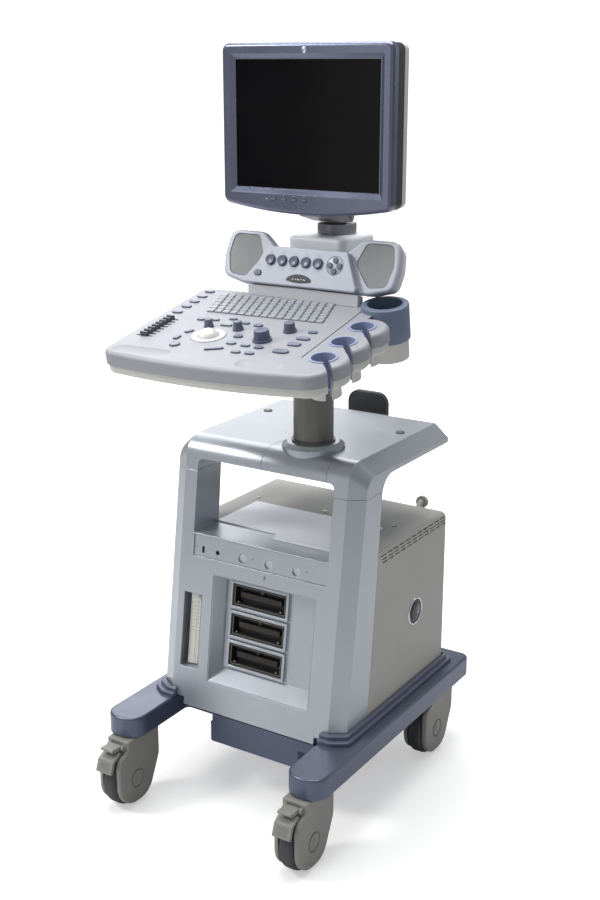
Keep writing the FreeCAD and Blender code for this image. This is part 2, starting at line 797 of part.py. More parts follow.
def column_tube():
    """The fixed tube, with a rubber-like seal ring at its foot and a bearing collar at its top."""
    foot = platform_underside + 6 + wall
    shell = tube(column_radius, column_radius - column_wall,
                 (column_x, column_y, foot), (column_x, column_y, column_top))
    floor = rod(column_radius, (column_x, column_y, foot), (column_x, column_y, foot + 5))
    seal = tube(column_radius + 3.5, column_radius - 1,
                (column_x, column_y, boss_top), (column_x, column_y, boss_top + 4))
    collar = tube(column_radius - 1, inner_tube_radius + slip, (column_x, column_y, column_top - 46),
                  (column_x, column_y, column_top + 2))
    return join([shell, floor, seal, collar])


def swivel_plate_height():
    return column_top + 8.0


def column_inner():
    """The sliding tube, with the round plate that the console turns on."""
    foot = boss_top + 15
    top = swivel_plate_height()
    shell = tube(inner_tube_radius, inner_tube_radius - inner_tube_wall,
                 (column_x, column_y, foot), (column_x, column_y, top))
    head = rod(inner_tube_radius, (column_x, column_y, top - 4), (column_x, column_y, top))
    spindle = rod(12.0, (column_x, column_y, top - 1), (column_x, column_y, top + 22))
    return join([shell, head, spindle])


def gas_cylinder():
    foot = platform_underside + 6 + wall + 5
    top = column_top - 28
    body = rod(14.0, (column_x, column_y, foot), (column_x, column_y, top))
    bore = rod(gas_rod_radius + slip, (column_x, column_y, gas_rod_foot - 5), (column_x, column_y, top + 1))
    return body.cut(bore)


def gas_rod():
    end = (column_x, column_y, swivel_plate_height() - 4)
    return rod(gas_rod_radius, (column_x, column_y, gas_rod_foot), end)


# ---------------------------------------------------------------- console

def console_slab(inset, low, high, edge_z=None, edge=console_edge):
    """The console seen from above: a bowed front edge and a wing of probe-holder lobes.

    Its outer edges at the height edge_z, if one is given, are rounded.
    """
    left = console_left + inset
    right = console_right
    rear = console_rear - inset
    front = console_front + inset
    corner = console_corner - inset / 2
    rear_corner = console_rear_corner - inset / 2
    start = Vector(left + corner, front, low)
    end = Vector(right, front, low)
    bowed = Part.Arc(start, Vector((left + right) / 2, front - console_bow, low), end).toShape()
    turn = corner * 0.29
    front_left = Part.Arc(Vector(left, front + corner, low), Vector(left + turn, front + turn, low), start).toShape()
    turn = rear_corner * 0.29
    rear_left = Part.Arc(Vector(left, rear - rear_corner, low), Vector(left + turn, rear - turn, low),
                         Vector(left + rear_corner, rear, low)).toShape()
    side = Part.LineSegment(Vector(left, front + corner, low), Vector(left, rear - rear_corner, low)).toShape()
    back = Part.LineSegment(Vector(left + rear_corner, rear, low), Vector(right, rear, low)).toShape()
    closing = Part.LineSegment(Vector(right, rear, low), end).toShape()
    wire = Part.Wire(Part.__sortEdges__([bowed, front_left, side, rear_left, back, closing]))
    body = Part.Face(wire).extrude(Vector(0, 0, high - low))
    corner_radius = 42.0 - inset
    lobes = [rod(corner_radius, (right, console_front + 42.0, low), (right, console_front + 42.0, high))]
    lobes += [rod(holder_lobe - inset, (holder_x, v, low), (holder_x, v, high)) for v in holder_v]
    lobes.append(rod(gel_radius + 8 - inset, (gel_x, gel_v, low), (gel_x, gel_v, high)))
    if edge_z is not None:
        body = rounded(body, edge, lambda p: abs(p.z - edge_z) < 0.05 and p.x < right - 0.5)
        lobes = [rounded(lobe, edge, at_height(edge_z)) for lobe in lobes]
    return join([body] + lobes)


def holder_axes():
    return [(holder_x, v) for v in holder_v]


def slit(x, v, width, low, high):
    """The gap through which a probe's cable is slipped sideways into its holder."""
    cut = block(0, 90, -width / 2, width / 2, low, high)
    cut.rotate(Vector(0, 0, 0), Vector(0, 0, 1), slit_angle)
    cut.translate(Vector(x, v, 0))
    return cut


def holder_cuts(low, high):
    cuts = [rod(holder_radius, (x, v, low), (x, v, high)) for x, v in holder_axes()]
    cuts += [slit(x, v, slit_width, low, high) for x, v in holder_axes()]
    cuts.append(rod(gel_radius + 0.5, (gel_x, gel_v, low), (gel_x, gel_v, high)))
    return Part.makeCompound(cuts)


button_layout = [
    # x, v, length, width, angle
    (-202, -45, 21, 12, 0), (-201, -74, 21, 12, 0), (-200, -103, 21, 12, 0), (-200, -131, 21, 12, 0),
    (-200, -162, 21, 12, 0), (-134, -185, 16, 10, 0), (-106, -180, 16, 10, 0), (-76, -168, 16, 10, 0),
    (-42, -182, 16, 10, 0), (-72, -199, 24, 10, 0), (-14, -186, 18, 12, 0), (-122, -244, 18, 11, 60),
    (-127, -276, 18, 11, 90), (-112, -307, 19, 19, 0), (-33, -306, 34, 9, 25), (-22, -243, 18, 12, 0),
    (-17, -275, 18, 12, 0), (13, -278, 18, 11, 0), (40, -280, 18, 11, 0), (12, -309, 18, 11, 0),
    (38, -308, 18, 11, 0), (97, -191, 18, 10, 0), (95, -223, 26, 13, 0), (93, -251, 25, 15, 0),
    (86, -286, 30, 16, 0),
]
dial_layout = {"dial_left": (-100, -213, 9.0, 15.0), "dial_centre": (-40, -212, 10.0, 16.0),
               "dial_main": (29, -248, 17.0, 20.0), "dial_right": (55, -196, 12.0, 17.0)}


def key_places():
    for row in range(key_rows):
        for column in range(key_columns):
            yield -160 + row * 4 + column * key_pitch, -58 - row * key_pitch


def slider_places():
    return [(-191, -283 + i * slider_pitch) for i in range(slider_count)]


def console_upper():
    body = console_slab(0.0, -upper_depth, 0.0, 0.0)
    body = body.cut(holder_cuts(-upper_depth - 1, 1))
    inner = console_slab(console_skin + console_edge, -upper_depth - 1, -console_skin)
    keep = [rod(holder_radius + 5, (x, v, -60), (x, v, 1)) for x, v in holder_axes()]
    keep += [slit(x, v, slit_width + 6, -60, 1) for x, v in holder_axes()]
    keep.append(rod(gel_radius + 4, (gel_x, gel_v, -60), (gel_x, gel_v, 1)))
    keep.append(block(-260, 126, -400, -326, -8, 1))
    body = body.cut(inner.cut(join(keep)))
    openings = [block(x - key_size / 2 - clear, x + key_size / 2 + clear, v - key_size / 2 - clear,
                      v + key_size / 2 + clear, -10, 5) for x, v in key_places()]
    openings += [pill(x, v, length + clear, width + clear, -10, 5, angle)
                 for x, v, length, width, angle in button_layout]
    openings += [block(x - 17, x + 17, v - 2, v + 2, -10, 5) for x, v in slider_places()]
    openings += [rod(4.5, (x, v, -10), (x, v, 5)) for x, v, _, _ in dial_layout.values()]
    openings.append(rod(ball_ring_radius + 0.3, (ball_x, ball_v, -10), (ball_x, ball_v, 5)))
    openings.append(block(131.2, 133.6, -300, -70, -2.4, 5))
    body = body.cut(Part.makeCompound(openings))
    scoop_radius = 40.0
    scoop_height = 36.0
    for x0, x1, v in ((-196, -112, -349), (52, 104, -347)):
        scoop = rod(scoop_radius, (x0, v, scoop_height), (x1, v, scoop_height))
        ends = [Part.makeSphere(scoop_radius, Vector(x, v, scoop_height)) for x in (x0, x1)]
        for hollow in [scoop] + ends:
            body = body.cut(hollow)
    return body


def console_lower():
    """The pale lower shell, with the holder for the gel cup and the socket for the column."""
    low = -upper_depth - lower_depth
    high = -upper_depth - seam
    body = console_slab(3.0, low, high, low)
    body = body.cut(holder_cuts(low - 1, high + 1))
    inner = console_slab(console_skin + console_edge + 3, low + console_skin, high + 1)
    keep = [rod(holder_radius + 5, (x, v, -80), (x, v, 1)) for x, v in holder_axes()]
    keep += [slit(x, v, slit_width + 6, -80, 1) for x, v in holder_axes()]
    keep.append(rod(gel_radius + 4, (gel_x, gel_v, -80), (gel_x, gel_v, 1)))
    body = body.cut(inner.cut(join(keep)))
    sleeves = []
    for x, v in holder_axes():
        sleeve = tube(holder_radius + 3.2, holder_radius, (x, v, -holder_depth - 4), (x, v, low + 1))
        sleeves.append(sleeve.cut(slit(x, v, slit_width, -holder_depth - 6, low + 2)))
    bottom = -gel_depth - 8
    cradle = tube(gel_radius + 4.5, gel_radius + 0.5, (gel_x, gel_v, bottom), (gel_x, gel_v, low + 1))
    cradle = cradle.cut(block(gel_x + 2, gel_x + 90, gel_v - 90, gel_v + 90, bottom + 40, low - 2))
    floor = tube(gel_radius + 4.5, 16.0, (gel_x, gel_v, bottom), (gel_x, gel_v, bottom + 4))
    return join([body, cradle, floor] + sleeves)


def on_column(shell):
    """Add the socket under the console that turns on the column's spindle."""
    low = swivel_plate_height() + 0.4
    high = low + 27.6
    socket = rod(34.0, (column_x, column_y, low), (column_x, column_y, high))
    bore = rod(12.0 + slip, (column_x, column_y, low - 1), (column_x, column_y, high - 4))
    return join([shell, socket]).cut(bore)


def keyboard_keys():
    keys = []
    for x, v in key_places():
        key = block(x - key_size / 2, x + key_size / 2, v - key_size / 2, v + key_size / 2,
                    -button_sink, key_height)
        keys.append(key.makeChamfer(1.1, edges_where(key, at_height(key_height))))
    return Part.makeCompound(keys)


def push_buttons():
    caps = []
    for x, v, length, width, angle in button_layout:
        cap = pill(x, v, length - clear, width - clear, -button_sink, button_height, angle)
        caps.append(rounded(cap, 1.2, at_height(button_height)))
    return Part.makeCompound(caps)


def slide_pots():
    caps = []
    for x, v in slider_places():
        stem = block(x - 2, x + 2, v - 1.2, v + 1.2, -9, 1)
        profile = [(v - 4.4, 0.6), (v + 4.4, 0.6), (v + 2.2, 8.0), (v - 2.2, 8.0)]
        cap = prism(profile, [0.5, 0.5, 1, 1], "yz", x - 7, x + 7)
        caps.append(join([stem, cap]))
    return Part.makeCompound(caps)


def trackball():
    return Part.makeSphere(ball_radius, Vector(ball_x, ball_v, -ball_sink))


def trackball_ring():
    seat = ball_radius + 0.5
    ring = rod(ball_ring_radius, (ball_x, ball_v, -10), (ball_x, ball_v, 1.8))
    ring = rounded(ring, 1.4, at_height(1.8))
    cup = rod(seat + 3, (ball_x, ball_v, -ball_sink - 12), (ball_x, ball_v, -9))
    return join([ring, cup]).cut(Part.makeSphere(seat, Vector(ball_x, ball_v, -ball_sink)))


def dial(x, v, radius, height):
    """A grip-topped rotary knob on a short shaft."""
    skirt = rod(radius, (x, v, 0.5), (x, v, 4))
    grip_radius = radius * 0.86
    grip = cone(grip_radius, grip_radius * 0.88, x, v, 3.5, height)
    grip = rounded(grip, 1.2, at_height(height))
    flutes = []
    count = 10
    for i in range(count):
        turn = 2 * math.pi * i / count
        reach = grip_radius * 1.16
        flutes.append(rod(grip_radius * 0.24, (x + reach * math.cos(turn), v + reach * math.sin(turn), 5),
                          (x + reach * math.cos(turn), v + reach * math.sin(turn), height + 1)))
    shaft = rod(3.0, (x, v, -9), (x, v, 1))
    return join([skirt, grip.cut(Part.makeCompound(flutes)), shaft])


def probe_cups():
    """Soft liners in the three probe holders, slit on the side like the holders."""
    cups = []
    for x, v in holder_axes():
        outer = rod(holder_radius - 0.05, (x, v, -holder_depth), (x, v, 1.5))
        flange = rod(holder_radius + 1.6, (x, v, 0.05), (x, v, 1.5))
        inner = cone(holder_radius - 7, holder_radius - holder_liner, x, v, -holder_depth + 3, 1.6)
        drain = rod(9.0, (x, v, -holder_depth - 1), (x, v, 5))
        cup = join([outer, flange]).cut(Part.makeCompound([inner, drain]))
        cups.append(cup.cut(slit(x, v, slit_width - 1.6, -holder_depth - 1, 5)))
    return Part.makeCompound(cups)


def gel_cup():
    """The removable cup for gel bottles, with a drain boss through the holder's floor."""
    bottom = -gel_depth
    body = rod(gel_radius, (gel_x, gel_v, bottom - 4), (gel_x, gel_v, 9))
    body = rounded(body, 1.5, at_height(9.0))
    hollow = rod(gel_radius - 3, (gel_x, gel_v, bottom), (gel_x, gel_v, 10))
    foot = rod(15.5, (gel_x, gel_v, bottom - 13), (gel_x, gel_v, bottom - 3))
    return join([body.cut(hollow), foot])


# ---------------------------------------------------------------- control bar

def bar_place(shape):
    """Lean a piece of the bar back about its lower front edge and move it into place."""
    placed = shape.copy()
    placed.rotate(Vector(0, 0, 0), Vector(1, 0, 0), -bar_lean)
    placed.translate(Vector(0, bar_y, bar_z))
    return placed


def bar_slab(points, radii, near, far):
    return prism(mirrored(points), radii + list(reversed(radii)), "xz", near, far)


def panel_slab(near, far, inset=0.0):
    """The middle panel, whose ends sweep inwards as they rise."""
    points = [(121 - inset, inset), (101 - inset, 40), (87 - inset, bar_height - inset)]
    return bar_slab(points, [6, 50, 6], near, far)


def pod_slab(near, far, inset=0.0):
    """Both speaker pods and the web that joins them behind the panel."""
    half = pod_half_width - inset
    points = [(136, inset), (half - 6, 12 + inset), (half, 50), (half - 6, pod_height - inset),
              (108 + inset, pod_height - inset), (72 + inset, bar_height - 2 - inset)]
    return bar_slab(points, [40, 18, 60, 22, 26, 22], near, far)


def bar_button_x():
    return [-73 + 25.75 * i for i in range(5)]


def grille_slab(side, near, far, grow=0.0):
    points = [(134 - grow, 13 - grow), (168 + grow, 17 - grow), (178 + grow, 55),
              (171 + grow, 93 + grow), (117 - grow, 93 + grow), (101 - grow, 55)]
    points = [(side * a, b) for a, b in points]
    if side < 0:
        points.reverse()
    return prism(points, 13, "xz", near, far)


def oval_slab(near, far, inset=0.0):
    return prism(rectangle(-105 + inset, -88 - inset, 14 + inset, 25 - inset), 5.4 - inset, "xz", near, far)


def bar_front():
    """The front moulding: the control panel with a framed speaker pod at each end."""
    panel = rounded(panel_slab(0, pod_setback + 1), 2.5, at_y(0))
    pods = rounded(pod_slab(pod_setback, pod_setback + pod_depth), 5.0, at_y(pod_setback))
    front = join([panel, pods])
    depth = pod_setback + pod_depth
    cuts = [rod(10.2, (x, -1, bar_button_s), (x, depth - 3, bar_button_s)) for x in bar_button_x()]
    cuts.append(rod(nav_radius + 0.6, (nav_x, -1, nav_s), (nav_x, depth - 3, nav_s)))
    cuts.append(oval_slab(-1, depth - 3))
    cuts += [grille_slab(side, pod_setback - 1, pod_setback + 4, 0.8) for side in (-1, 1)]
    return bar_place(front.cut(Part.makeCompound(cuts)))


def speaker_grilles():
    grilles = [grille_slab(side, pod_setback + 1.2, pod_setback + 4.0) for side in (-1, 1)]
    return bar_place(Part.makeCompound(grilles))


def bar_rear():
    """The back moulding, which bulges behind each speaker, and the saddle on the console's rear edge."""
    near = pod_setback + pod_depth + 2 * seam
    far = near + bar_back_depth
    shell = rounded(pod_slab(near, far, 3.0), 8.0, at_y(far))
    bulges = []
    for side in (-1, 1):
        bulge = rounded(cone(40, 26, 0, 0, 0, 26), 9.0, at_height(26))
        bulge.rotate(Vector(0, 0, 0), Vector(1, 0, 0), -90)
        bulge.translate(Vector(side * 142, far - 2, 48))
        bulges.append(bulge)
    back = bar_place(join([shell] + bulges))
    above = neck_housing_bottom - 0.05
    saddle = plate(-52, 52, saddle_front, 100, 900, above, 6)
    foot = block(-119, 119, saddle_front, 43, 925, 968)
    before = bar_place(block(-300, 300, -60, near - 0.05, -1.5, 160))
    console = console_place(console_slab(-0.1, -upper_depth - lower_depth - 0.1, 0.1))
    half = neck_housing_half + 0.05
    housing = block(-half, half, neck_housing_front - 0.05, 300, above, neck_housing_top + 50)
    return join([back, saddle.cut(before), foot.cut(before)]).cut(console).cut(housing)


def bar_buttons():
    """Five round keys with dished faces, and an oval one below them."""
    caps = []
    for x in bar_button_x():
        cap = rod(9.4, (x, -5, bar_button_s), (x, 20, bar_button_s))
        cap = rounded(cap, 1.4, at_y(-5))
        caps.append(cap.cut(Part.makeSphere(22, Vector(x, -25.2, bar_button_s))))
    caps.append(rounded(oval_slab(-2.5, 20, 0.8), 1.0, at_y(-2.5)))
    return bar_place(Part.makeCompound(caps))


def nav_pad():
    """Four round keys in a diamond on one rocking plate."""
    disc = rod(nav_radius, (nav_x, 0.5, nav_s), (nav_x, 20, nav_s))
    reach = 10.0
    keys = [rod(5.4, (nav_x + reach * a, -3, nav_s + reach * b), (nav_x + reach * a, 1, nav_s + reach * b))
            for a, b in ((1, 0), (-1, 0), (0, 1), (0, -1))]
    keys = [rounded(key, 1.0, at_y(-3)) for key in keys]
    return bar_place(join([disc] + keys))


# ---------------------------------------------------------------- neck and monitor

def neck_housing():
    """The white box behind the bar that carries the monitor's neck."""
    half = neck_housing_half
    body = plate(-half, half, neck_housing_front, neck_housing_rear,
                 neck_housing_bottom, neck_housing_top, 16)
    body = rounded(body, 8.0, at_height(neck_housing_top))
    body = rounded(body, 5.0, at_height(neck_housing_bottom))
    inner = half - wall
    hollow = plate(-inner, inner, neck_housing_front + wall, neck_housing_rear - wall,
                   neck_housing_bottom + wall, neck_housing_top - wall - 4, 12)
    hollow = hollow.cut(rod(27.0, (0, neck_y, 0), (0, neck_y, neck_housing_top)))
    cable_y = neck_housing_rear - 26
    cable_hole = rod(8.0, (38, cable_y, 0), (38, cable_y, neck_housing_top - 30))
    socket = rod(20 + slip, (0, neck_y, neck_housing_top - 30), (0, neck_y, neck_housing_top + 1))
    return body.cut(Part.makeCompound([hollow, cable_hole, socket]))


def neck_post():
    """The dark neck: a foot that swivels in the housing, with the lug and pin of the tilt hinge."""
    spindle = rod(20.0, (0, neck_y, neck_housing_top - 28), (0, neck_y, neck_housing_top + 2))
    foot = rod(neck_radius, (0, neck_y, neck_housing_top + 0.4), (0, neck_y, neck_top))
    foot = rounded(foot, 2.0, at_height(neck_top))
    lug = block(-14, 14, neck_y - tilt_ear_radius, neck_y + tilt_ear_radius, neck_top - 1, tilt_axis_z)
    knuckle = rod(tilt_ear_radius, (-14, neck_y, tilt_axis_z), (14, neck_y, tilt_axis_z))
    pin = rod(tilt_pin_radius, (-34, neck_y, tilt_axis_z), (34, neck_y, tilt_axis_z))
    return join([spindle, foot, lug, knuckle, pin])


def monitor_slab(inset, near, far):
    """The monitor's outline, with a bowed lower edge, between two depths."""
    half = monitor_half_width - inset
    top = monitor_top - inset
    bow_radius = (monitor_half_width ** 2 + monitor_bow ** 2) / (2 * monitor_bow)
    bow_z = monitor_bottom + bow_radius
    bow_radius -= inset
    corner = max(monitor_corner - inset, 3.0)
    corner_x = half - corner
    corner_z = bow_z - math.sqrt((bow_radius - corner) ** 2 - corner_x ** 2)
    reach = bow_radius / (bow_radius - corner)
    touch_x = corner_x * reach
    touch_z = bow_z + (corner_z - bow_z) * reach
    sweep_start = math.atan2(touch_z - corner_z, touch_x - corner_x)
    middle = sweep_start / 2

    def point(x, z):
        return Vector(x, near, z)

    half_turn = corner * math.sqrt(0.5)
    right = [Part.Arc(point(touch_x, touch_z),
                      point(corner_x + corner * math.cos(middle), corner_z + corner * math.sin(middle)),
                      point(half, corner_z)).toShape(),
             Part.LineSegment(point(half, corner_z), point(half, top - corner)).toShape(),
             Part.Arc(point(half, top - corner), point(corner_x + half_turn, top - corner + half_turn),
                      point(corner_x, top)).toShape()]
    left = [mirror_x(edge) for edge in right]
    bow = Part.Arc(point(-touch_x, touch_z), point(0, bow_z - bow_radius), point(touch_x, touch_z)).toShape()
    crown = Part.LineSegment(point(corner_x, top), point(-corner_x, top)).toShape()
    wire = Part.Wire(Part.__sortEdges__([bow, crown] + right + left))
    return Part.Face(wire).extrude(Vector(0, far - near, 0))


def screen_box(grow, near, far):
    half = screen_width / 2 + grow
    tall = screen_height / 2 + grow
    return block(-half, half, near, far, monitor_centre - tall, monitor_centre + tall)


def screen_wire(y, grow):
    half = screen_width / 2 + grow
    tall = screen_height / 2 + grow
    corners = [Vector(a * half, y, monitor_centre + b * tall)
               for a, b in ((-1, -1), (1, -1), (1, 1), (-1, 1))]
    return Part.makePolygon(corners + corners[:1])


def monitor_bezel():
    near = monitor_front
    far = monitor_front + bezel_depth
    frame = rounded(monitor_slab(0.0, near, far), bezel_edge, at_y(near))
    bevel = Part.makeLoft([screen_wire(near - 0.01, 9.0), screen_wire(near + 6, 1.0)], True, True)
    holes = [prism(rectangle(x - 6, x + 6, 1125, 1131), 2.9, "xz", near - 1, near + 12)
             for x in monitor_button_x()]
    frame = frame.cut(Part.makeCompound([bevel, screen_box(-1.0, near, far + 1)] + holes))
    return frame.cut(screen_box(4.0, near + 7, far + 1))


def monitor_button_x():
    return [-66 + 22 * i for i in range(4)]


def monitor_buttons():
    near = monitor_front - 1
    caps = [prism(rectangle(x - 5.4, x + 5.4, 1125.6, 1130.4), 2.3, "xz", near, near + 12)
            for x in monitor_button_x()]
    return Part.makeCompound(caps)


def lcd_panel():
    return screen_box(3.6, monitor_front + 7.05, monitor_front + 16)


def monitor_band():
    """The dark band round the middle of the monitor."""
    near = monitor_front + bezel_depth + 0.05
    far = near + band_depth
    band = monitor_slab(1.5, near, far)
    return band.cut(monitor_slab(1.5 + wall, near + 4, far + 1))


def monitor_back_plane():
    return monitor_front + bezel_depth + band_depth + 0.1 + back_depth


def monitor_back():
    """The back cover, with rounded rear edges and cooling slots along its top."""
    far = monitor_back_plane()
    near = far - back_depth
    back = rounded(monitor_slab(3.0, near, far), 10.0, at_y(far))
    back = back.cut(monitor_slab(3.0 + wall + 5, near - 1, far - wall))
    slots = [block(x, x + 4, far - wall - 1, far + 1, 1330, 1375) for x in range(-120, 121, 12)]
    return back.cut(Part.makeCompound(slots))


def monitor_arm():
    """The dark bracket under the monitor: two ears on the tilt pin and a plate on the back cover."""
    back = monitor_back_plane() + 0.05
    under = monitor_bottom - 0.7
    points = [(66, under - 4), (66, under), (back, under), (back, 1190), (back + 9, 1190),
              (back + 12, under + 14), (neck_y, tilt_axis_z + tilt_ear_radius),
              (neck_y, tilt_axis_z - tilt_ear_radius), (neck_y - 34, neck_top + 4.5)]
    web = prism(points, [1, 0, 0, 3, 3, 10, 0, 0, 6], "yz", -31, 31)
    knuckle = rod(tilt_ear_radius, (-31, neck_y, tilt_axis_z), (31, neck_y, tilt_axis_z))
    body = join([web, knuckle])
    gap = tilt_ear_radius + 2.5
    slot = block(-14.6, 14.6, neck_y - gap, neck_y + 40, neck_top - 5, tilt_axis_z + 40)
    pin_bore = rod(tilt_pin_radius + slip, (-60, neck_y, tilt_axis_z), (60, neck_y, tilt_axis_z))
    return body.cut(slot).cut(pin_bore)


# ---------------------------------------------------------------- assembly

def build():
    parts["base_frame"] = base_frame()
    parts["base_collar"] = base_collar()
    parts["front_pod"] = front_pod()
    parts["castor_stems"] = castor_stems()
    for name, x, y in castor_places():
        parts["castor_housing_" + name] = castor_housing(x, y)
        parts["castor_wheel_" + name] = castor_wheel(x, y)
        if name.startswith("front"):
            parts["brake_pedal_" + name] = castor_pedal(x, y)

    shell = arch_shell()
    parts["front_fascia"] = front_fascia(shell)
    parts["platform_shell"] = platform_shell(shell)
    parts["arch_cap"] = arch_cap(shell)
    parts["rear_casing"] = rear_casing()
    parts["casing_lid"] = casing_lid()
    parts["rear_panel"] = rear_panel()
    parts["control_strip"] = control_strip()
    parts["front_sockets"] = front_sockets()
    parts["port_bezel"] = port_bezel()
    parts["probe_ports"] = probe_ports()
    parts["pocket_card"] = pocket_card()
    parts["cable_hook"] = cable_hook()
    parts["cover_screws"] = cover_screws()
    parts["power_supply"] = power_supply()
    parts["electronics_rack"] = electronics_rack()
    parts["cooling_fan"] = cooling_fan()

    parts["column_tube"] = column_tube()
    parts["column_inner"] = column_inner()
    parts["gas_cylinder"] = gas_cylinder()
    parts["gas_rod"] = gas_rod()

    parts["console_upper"] = console_place(console_upper())
    parts["console_lower"] = on_column(console_place(console_lower()))
    parts["keyboard_keys"] = console_place(keyboard_keys())
    parts["push_buttons"] = console_place(push_buttons())
    parts["slide_pots"] = console_place(slide_pots())
    parts["trackball"] = console_place(trackball())
    parts["trackball_ring"] = console_place(trackball_ring())
    for name, layout in dial_layout.items():
        parts[name] = console_place(dial(*layout))
    parts["probe_cups"] = console_place(probe_cups())
    parts["gel_cup"] = console_place(gel_cup())

    parts["bar_front"] = bar_front()
    parts["bar_rear"] = bar_rear()
    parts["speaker_grilles"] = speaker_grilles()
    parts["bar_buttons"] = bar_buttons()
    parts["nav_pad"] = nav_pad()
    parts["neck_housing"] = neck_housing()
    parts["neck_post"] = neck_post()
    parts["monitor_bezel"] = monitor_bezel()
    parts["monitor_buttons"] = monitor_buttons()
    parts["lcd_panel"] = lcd_panel()
    parts["monitor_band"] = monitor_band()
    parts["monitor_back"] = monitor_back()
    parts["monitor_arm"] = monitor_arm()


build()
front_reach = parts["brake_pedal_front_left"].optimalBoundingBox().YMin
origin_y = (front_reach + base_length / 2) / 2     # the middle of the whole machine's footprint
os.makedirs("parts", exist_ok=True)
print("origin is at y", round(origin_y, 4), "from the middle of the base")
for node, shape in parts.items():
    shape.translate(Vector(0, -origin_y, 0))
    shape.exportStep(os.path.join("parts", node + ".step"))
    box = shape.BoundBox
    print(f"{node:28s} solids {len(shape.Solids):3d} valid {shape.isValid()} volume {shape.Volume / 1000:9.1f} cm3 "
          f"x {box.XMin:7.1f} {box.XMax:7.1f} y {box.YMin:7.1f} {box.YMax:7.1f} z {box.ZMin:7.1f} {box.ZMax:7.1f}")
print(len(parts), "nodes")
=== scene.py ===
"""The looks of the mobile ultrasound machine: materials on the CAD nodes, and small detail pieces.

Metres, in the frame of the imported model: +Z up, the front faces -Y, the origin is on the floor.
"""
import json
import math

import bmesh
import bpy
from mathutils import Matrix, Vector


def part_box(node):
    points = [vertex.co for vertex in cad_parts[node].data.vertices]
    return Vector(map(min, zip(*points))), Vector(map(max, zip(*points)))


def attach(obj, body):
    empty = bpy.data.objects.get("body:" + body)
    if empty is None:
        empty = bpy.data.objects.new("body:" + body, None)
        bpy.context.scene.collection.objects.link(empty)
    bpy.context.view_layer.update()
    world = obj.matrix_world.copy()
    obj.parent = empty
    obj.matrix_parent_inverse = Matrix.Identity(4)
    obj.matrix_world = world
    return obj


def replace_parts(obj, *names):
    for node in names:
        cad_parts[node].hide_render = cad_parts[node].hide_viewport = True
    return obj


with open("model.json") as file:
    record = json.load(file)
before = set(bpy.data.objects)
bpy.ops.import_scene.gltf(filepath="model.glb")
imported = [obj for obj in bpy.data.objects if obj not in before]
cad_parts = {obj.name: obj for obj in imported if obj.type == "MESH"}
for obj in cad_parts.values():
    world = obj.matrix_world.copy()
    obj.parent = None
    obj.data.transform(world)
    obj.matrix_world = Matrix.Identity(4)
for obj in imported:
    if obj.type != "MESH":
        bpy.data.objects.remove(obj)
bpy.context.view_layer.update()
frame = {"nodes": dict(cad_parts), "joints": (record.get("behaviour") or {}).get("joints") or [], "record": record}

nodes = frame["nodes"]
joints = {joint["name"]: joint for joint in frame["joints"]}
MM = 0.001

# ---------------------------------------------------------------- directions on the machine

console_up = Vector(joints["knob_main_turn"]["axis"]).normalized()
console_right = Vector(joints["slider_travel"]["axis"]).normalized()
console_back = console_up.cross(console_right)
bar_in = Vector(joints["bar_key_press"]["axis"]).normalized()
bar_up = Vector((1, 0, 0)).cross(bar_in)
RIGHT = Vector((1, 0, 0))
BACK = Vector((0, 1, 0))


# ---------------------------------------------------------------- materials

class Nodes:
    """A small helper that adds and links shader nodes in one material."""

    def __init__(self, name):
        self.material = bpy.data.materials.new(name)
        self.material.use_nodes = True
        self.tree = self.material.node_tree
        self.shader = self.tree.nodes["Principled BSDF"]
        self.object_coords = self.add("ShaderNodeTexCoord").outputs["Object"]

    def add(self, kind, **settings):
        node = self.tree.nodes.new(kind)
        for key, value in settings.items():
            setattr(node, key, value)
        return node

    def link(self, source, target):
        self.tree.links.new(source, target)

    def noise(self, scale, detail=2.0, vector=None, roughness=0.5):
        node = self.add("ShaderNodeTexNoise")
        node.inputs["Scale"].default_value = scale
        node.inputs["Detail"].default_value = detail
        node.inputs["Roughness"].default_value = roughness
        self.link(vector or self.object_coords, node.inputs["Vector"])
        return node.outputs["Fac"]

    def ramp(self, source, stops):
        node = self.add("ShaderNodeMapRange")
        self.link(source, node.inputs["Value"])
        node.inputs["From Min"].default_value = stops[0]
        node.inputs["From Max"].default_value = stops[1]
        node.inputs["To Min"].default_value = stops[2]
        node.inputs["To Max"].default_value = stops[3]
        return node.outputs["Result"]

    def math(self, operation, a, b):
        node = self.add("ShaderNodeMath", operation=operation)
        for socket, value in zip(node.inputs, (a, b)):
            if isinstance(value, (int, float)):
                socket.default_value = value
            else:
                self.link(value, socket)
        return node.outputs[0]

    def mix(self, factor, a, b):
        node = self.add("ShaderNodeMix", data_type="RGBA")
        self.link(factor, node.inputs[0])
        for socket, value in ((node.inputs[6], a), (node.inputs[7], b)):
            if isinstance(value, (tuple, list)):
                socket.default_value = (*value[:3], 1.0)
            else:
                self.link(value, socket)
        return node.outputs[2]

    def stretched(self, x, y, z):
        node = self.add("ShaderNodeMapping")
        self.link(self.object_coords, node.inputs["Vector"])
        node.inputs["Scale"].default_value = (x, y, z)
        return node.outputs["Vector"]


def linear(rgb):
    """Linear colour from 0-255 screen values."""
    values = []
    for value in rgb:
        value = value / 255
        values.append(value / 12.92 if value <= 0.04045 else ((value + 0.055) / 1.055) ** 2.4)
    return tuple(values)


def shade(color, factor):
    return tuple(min(1.0, value * factor) for value in color)


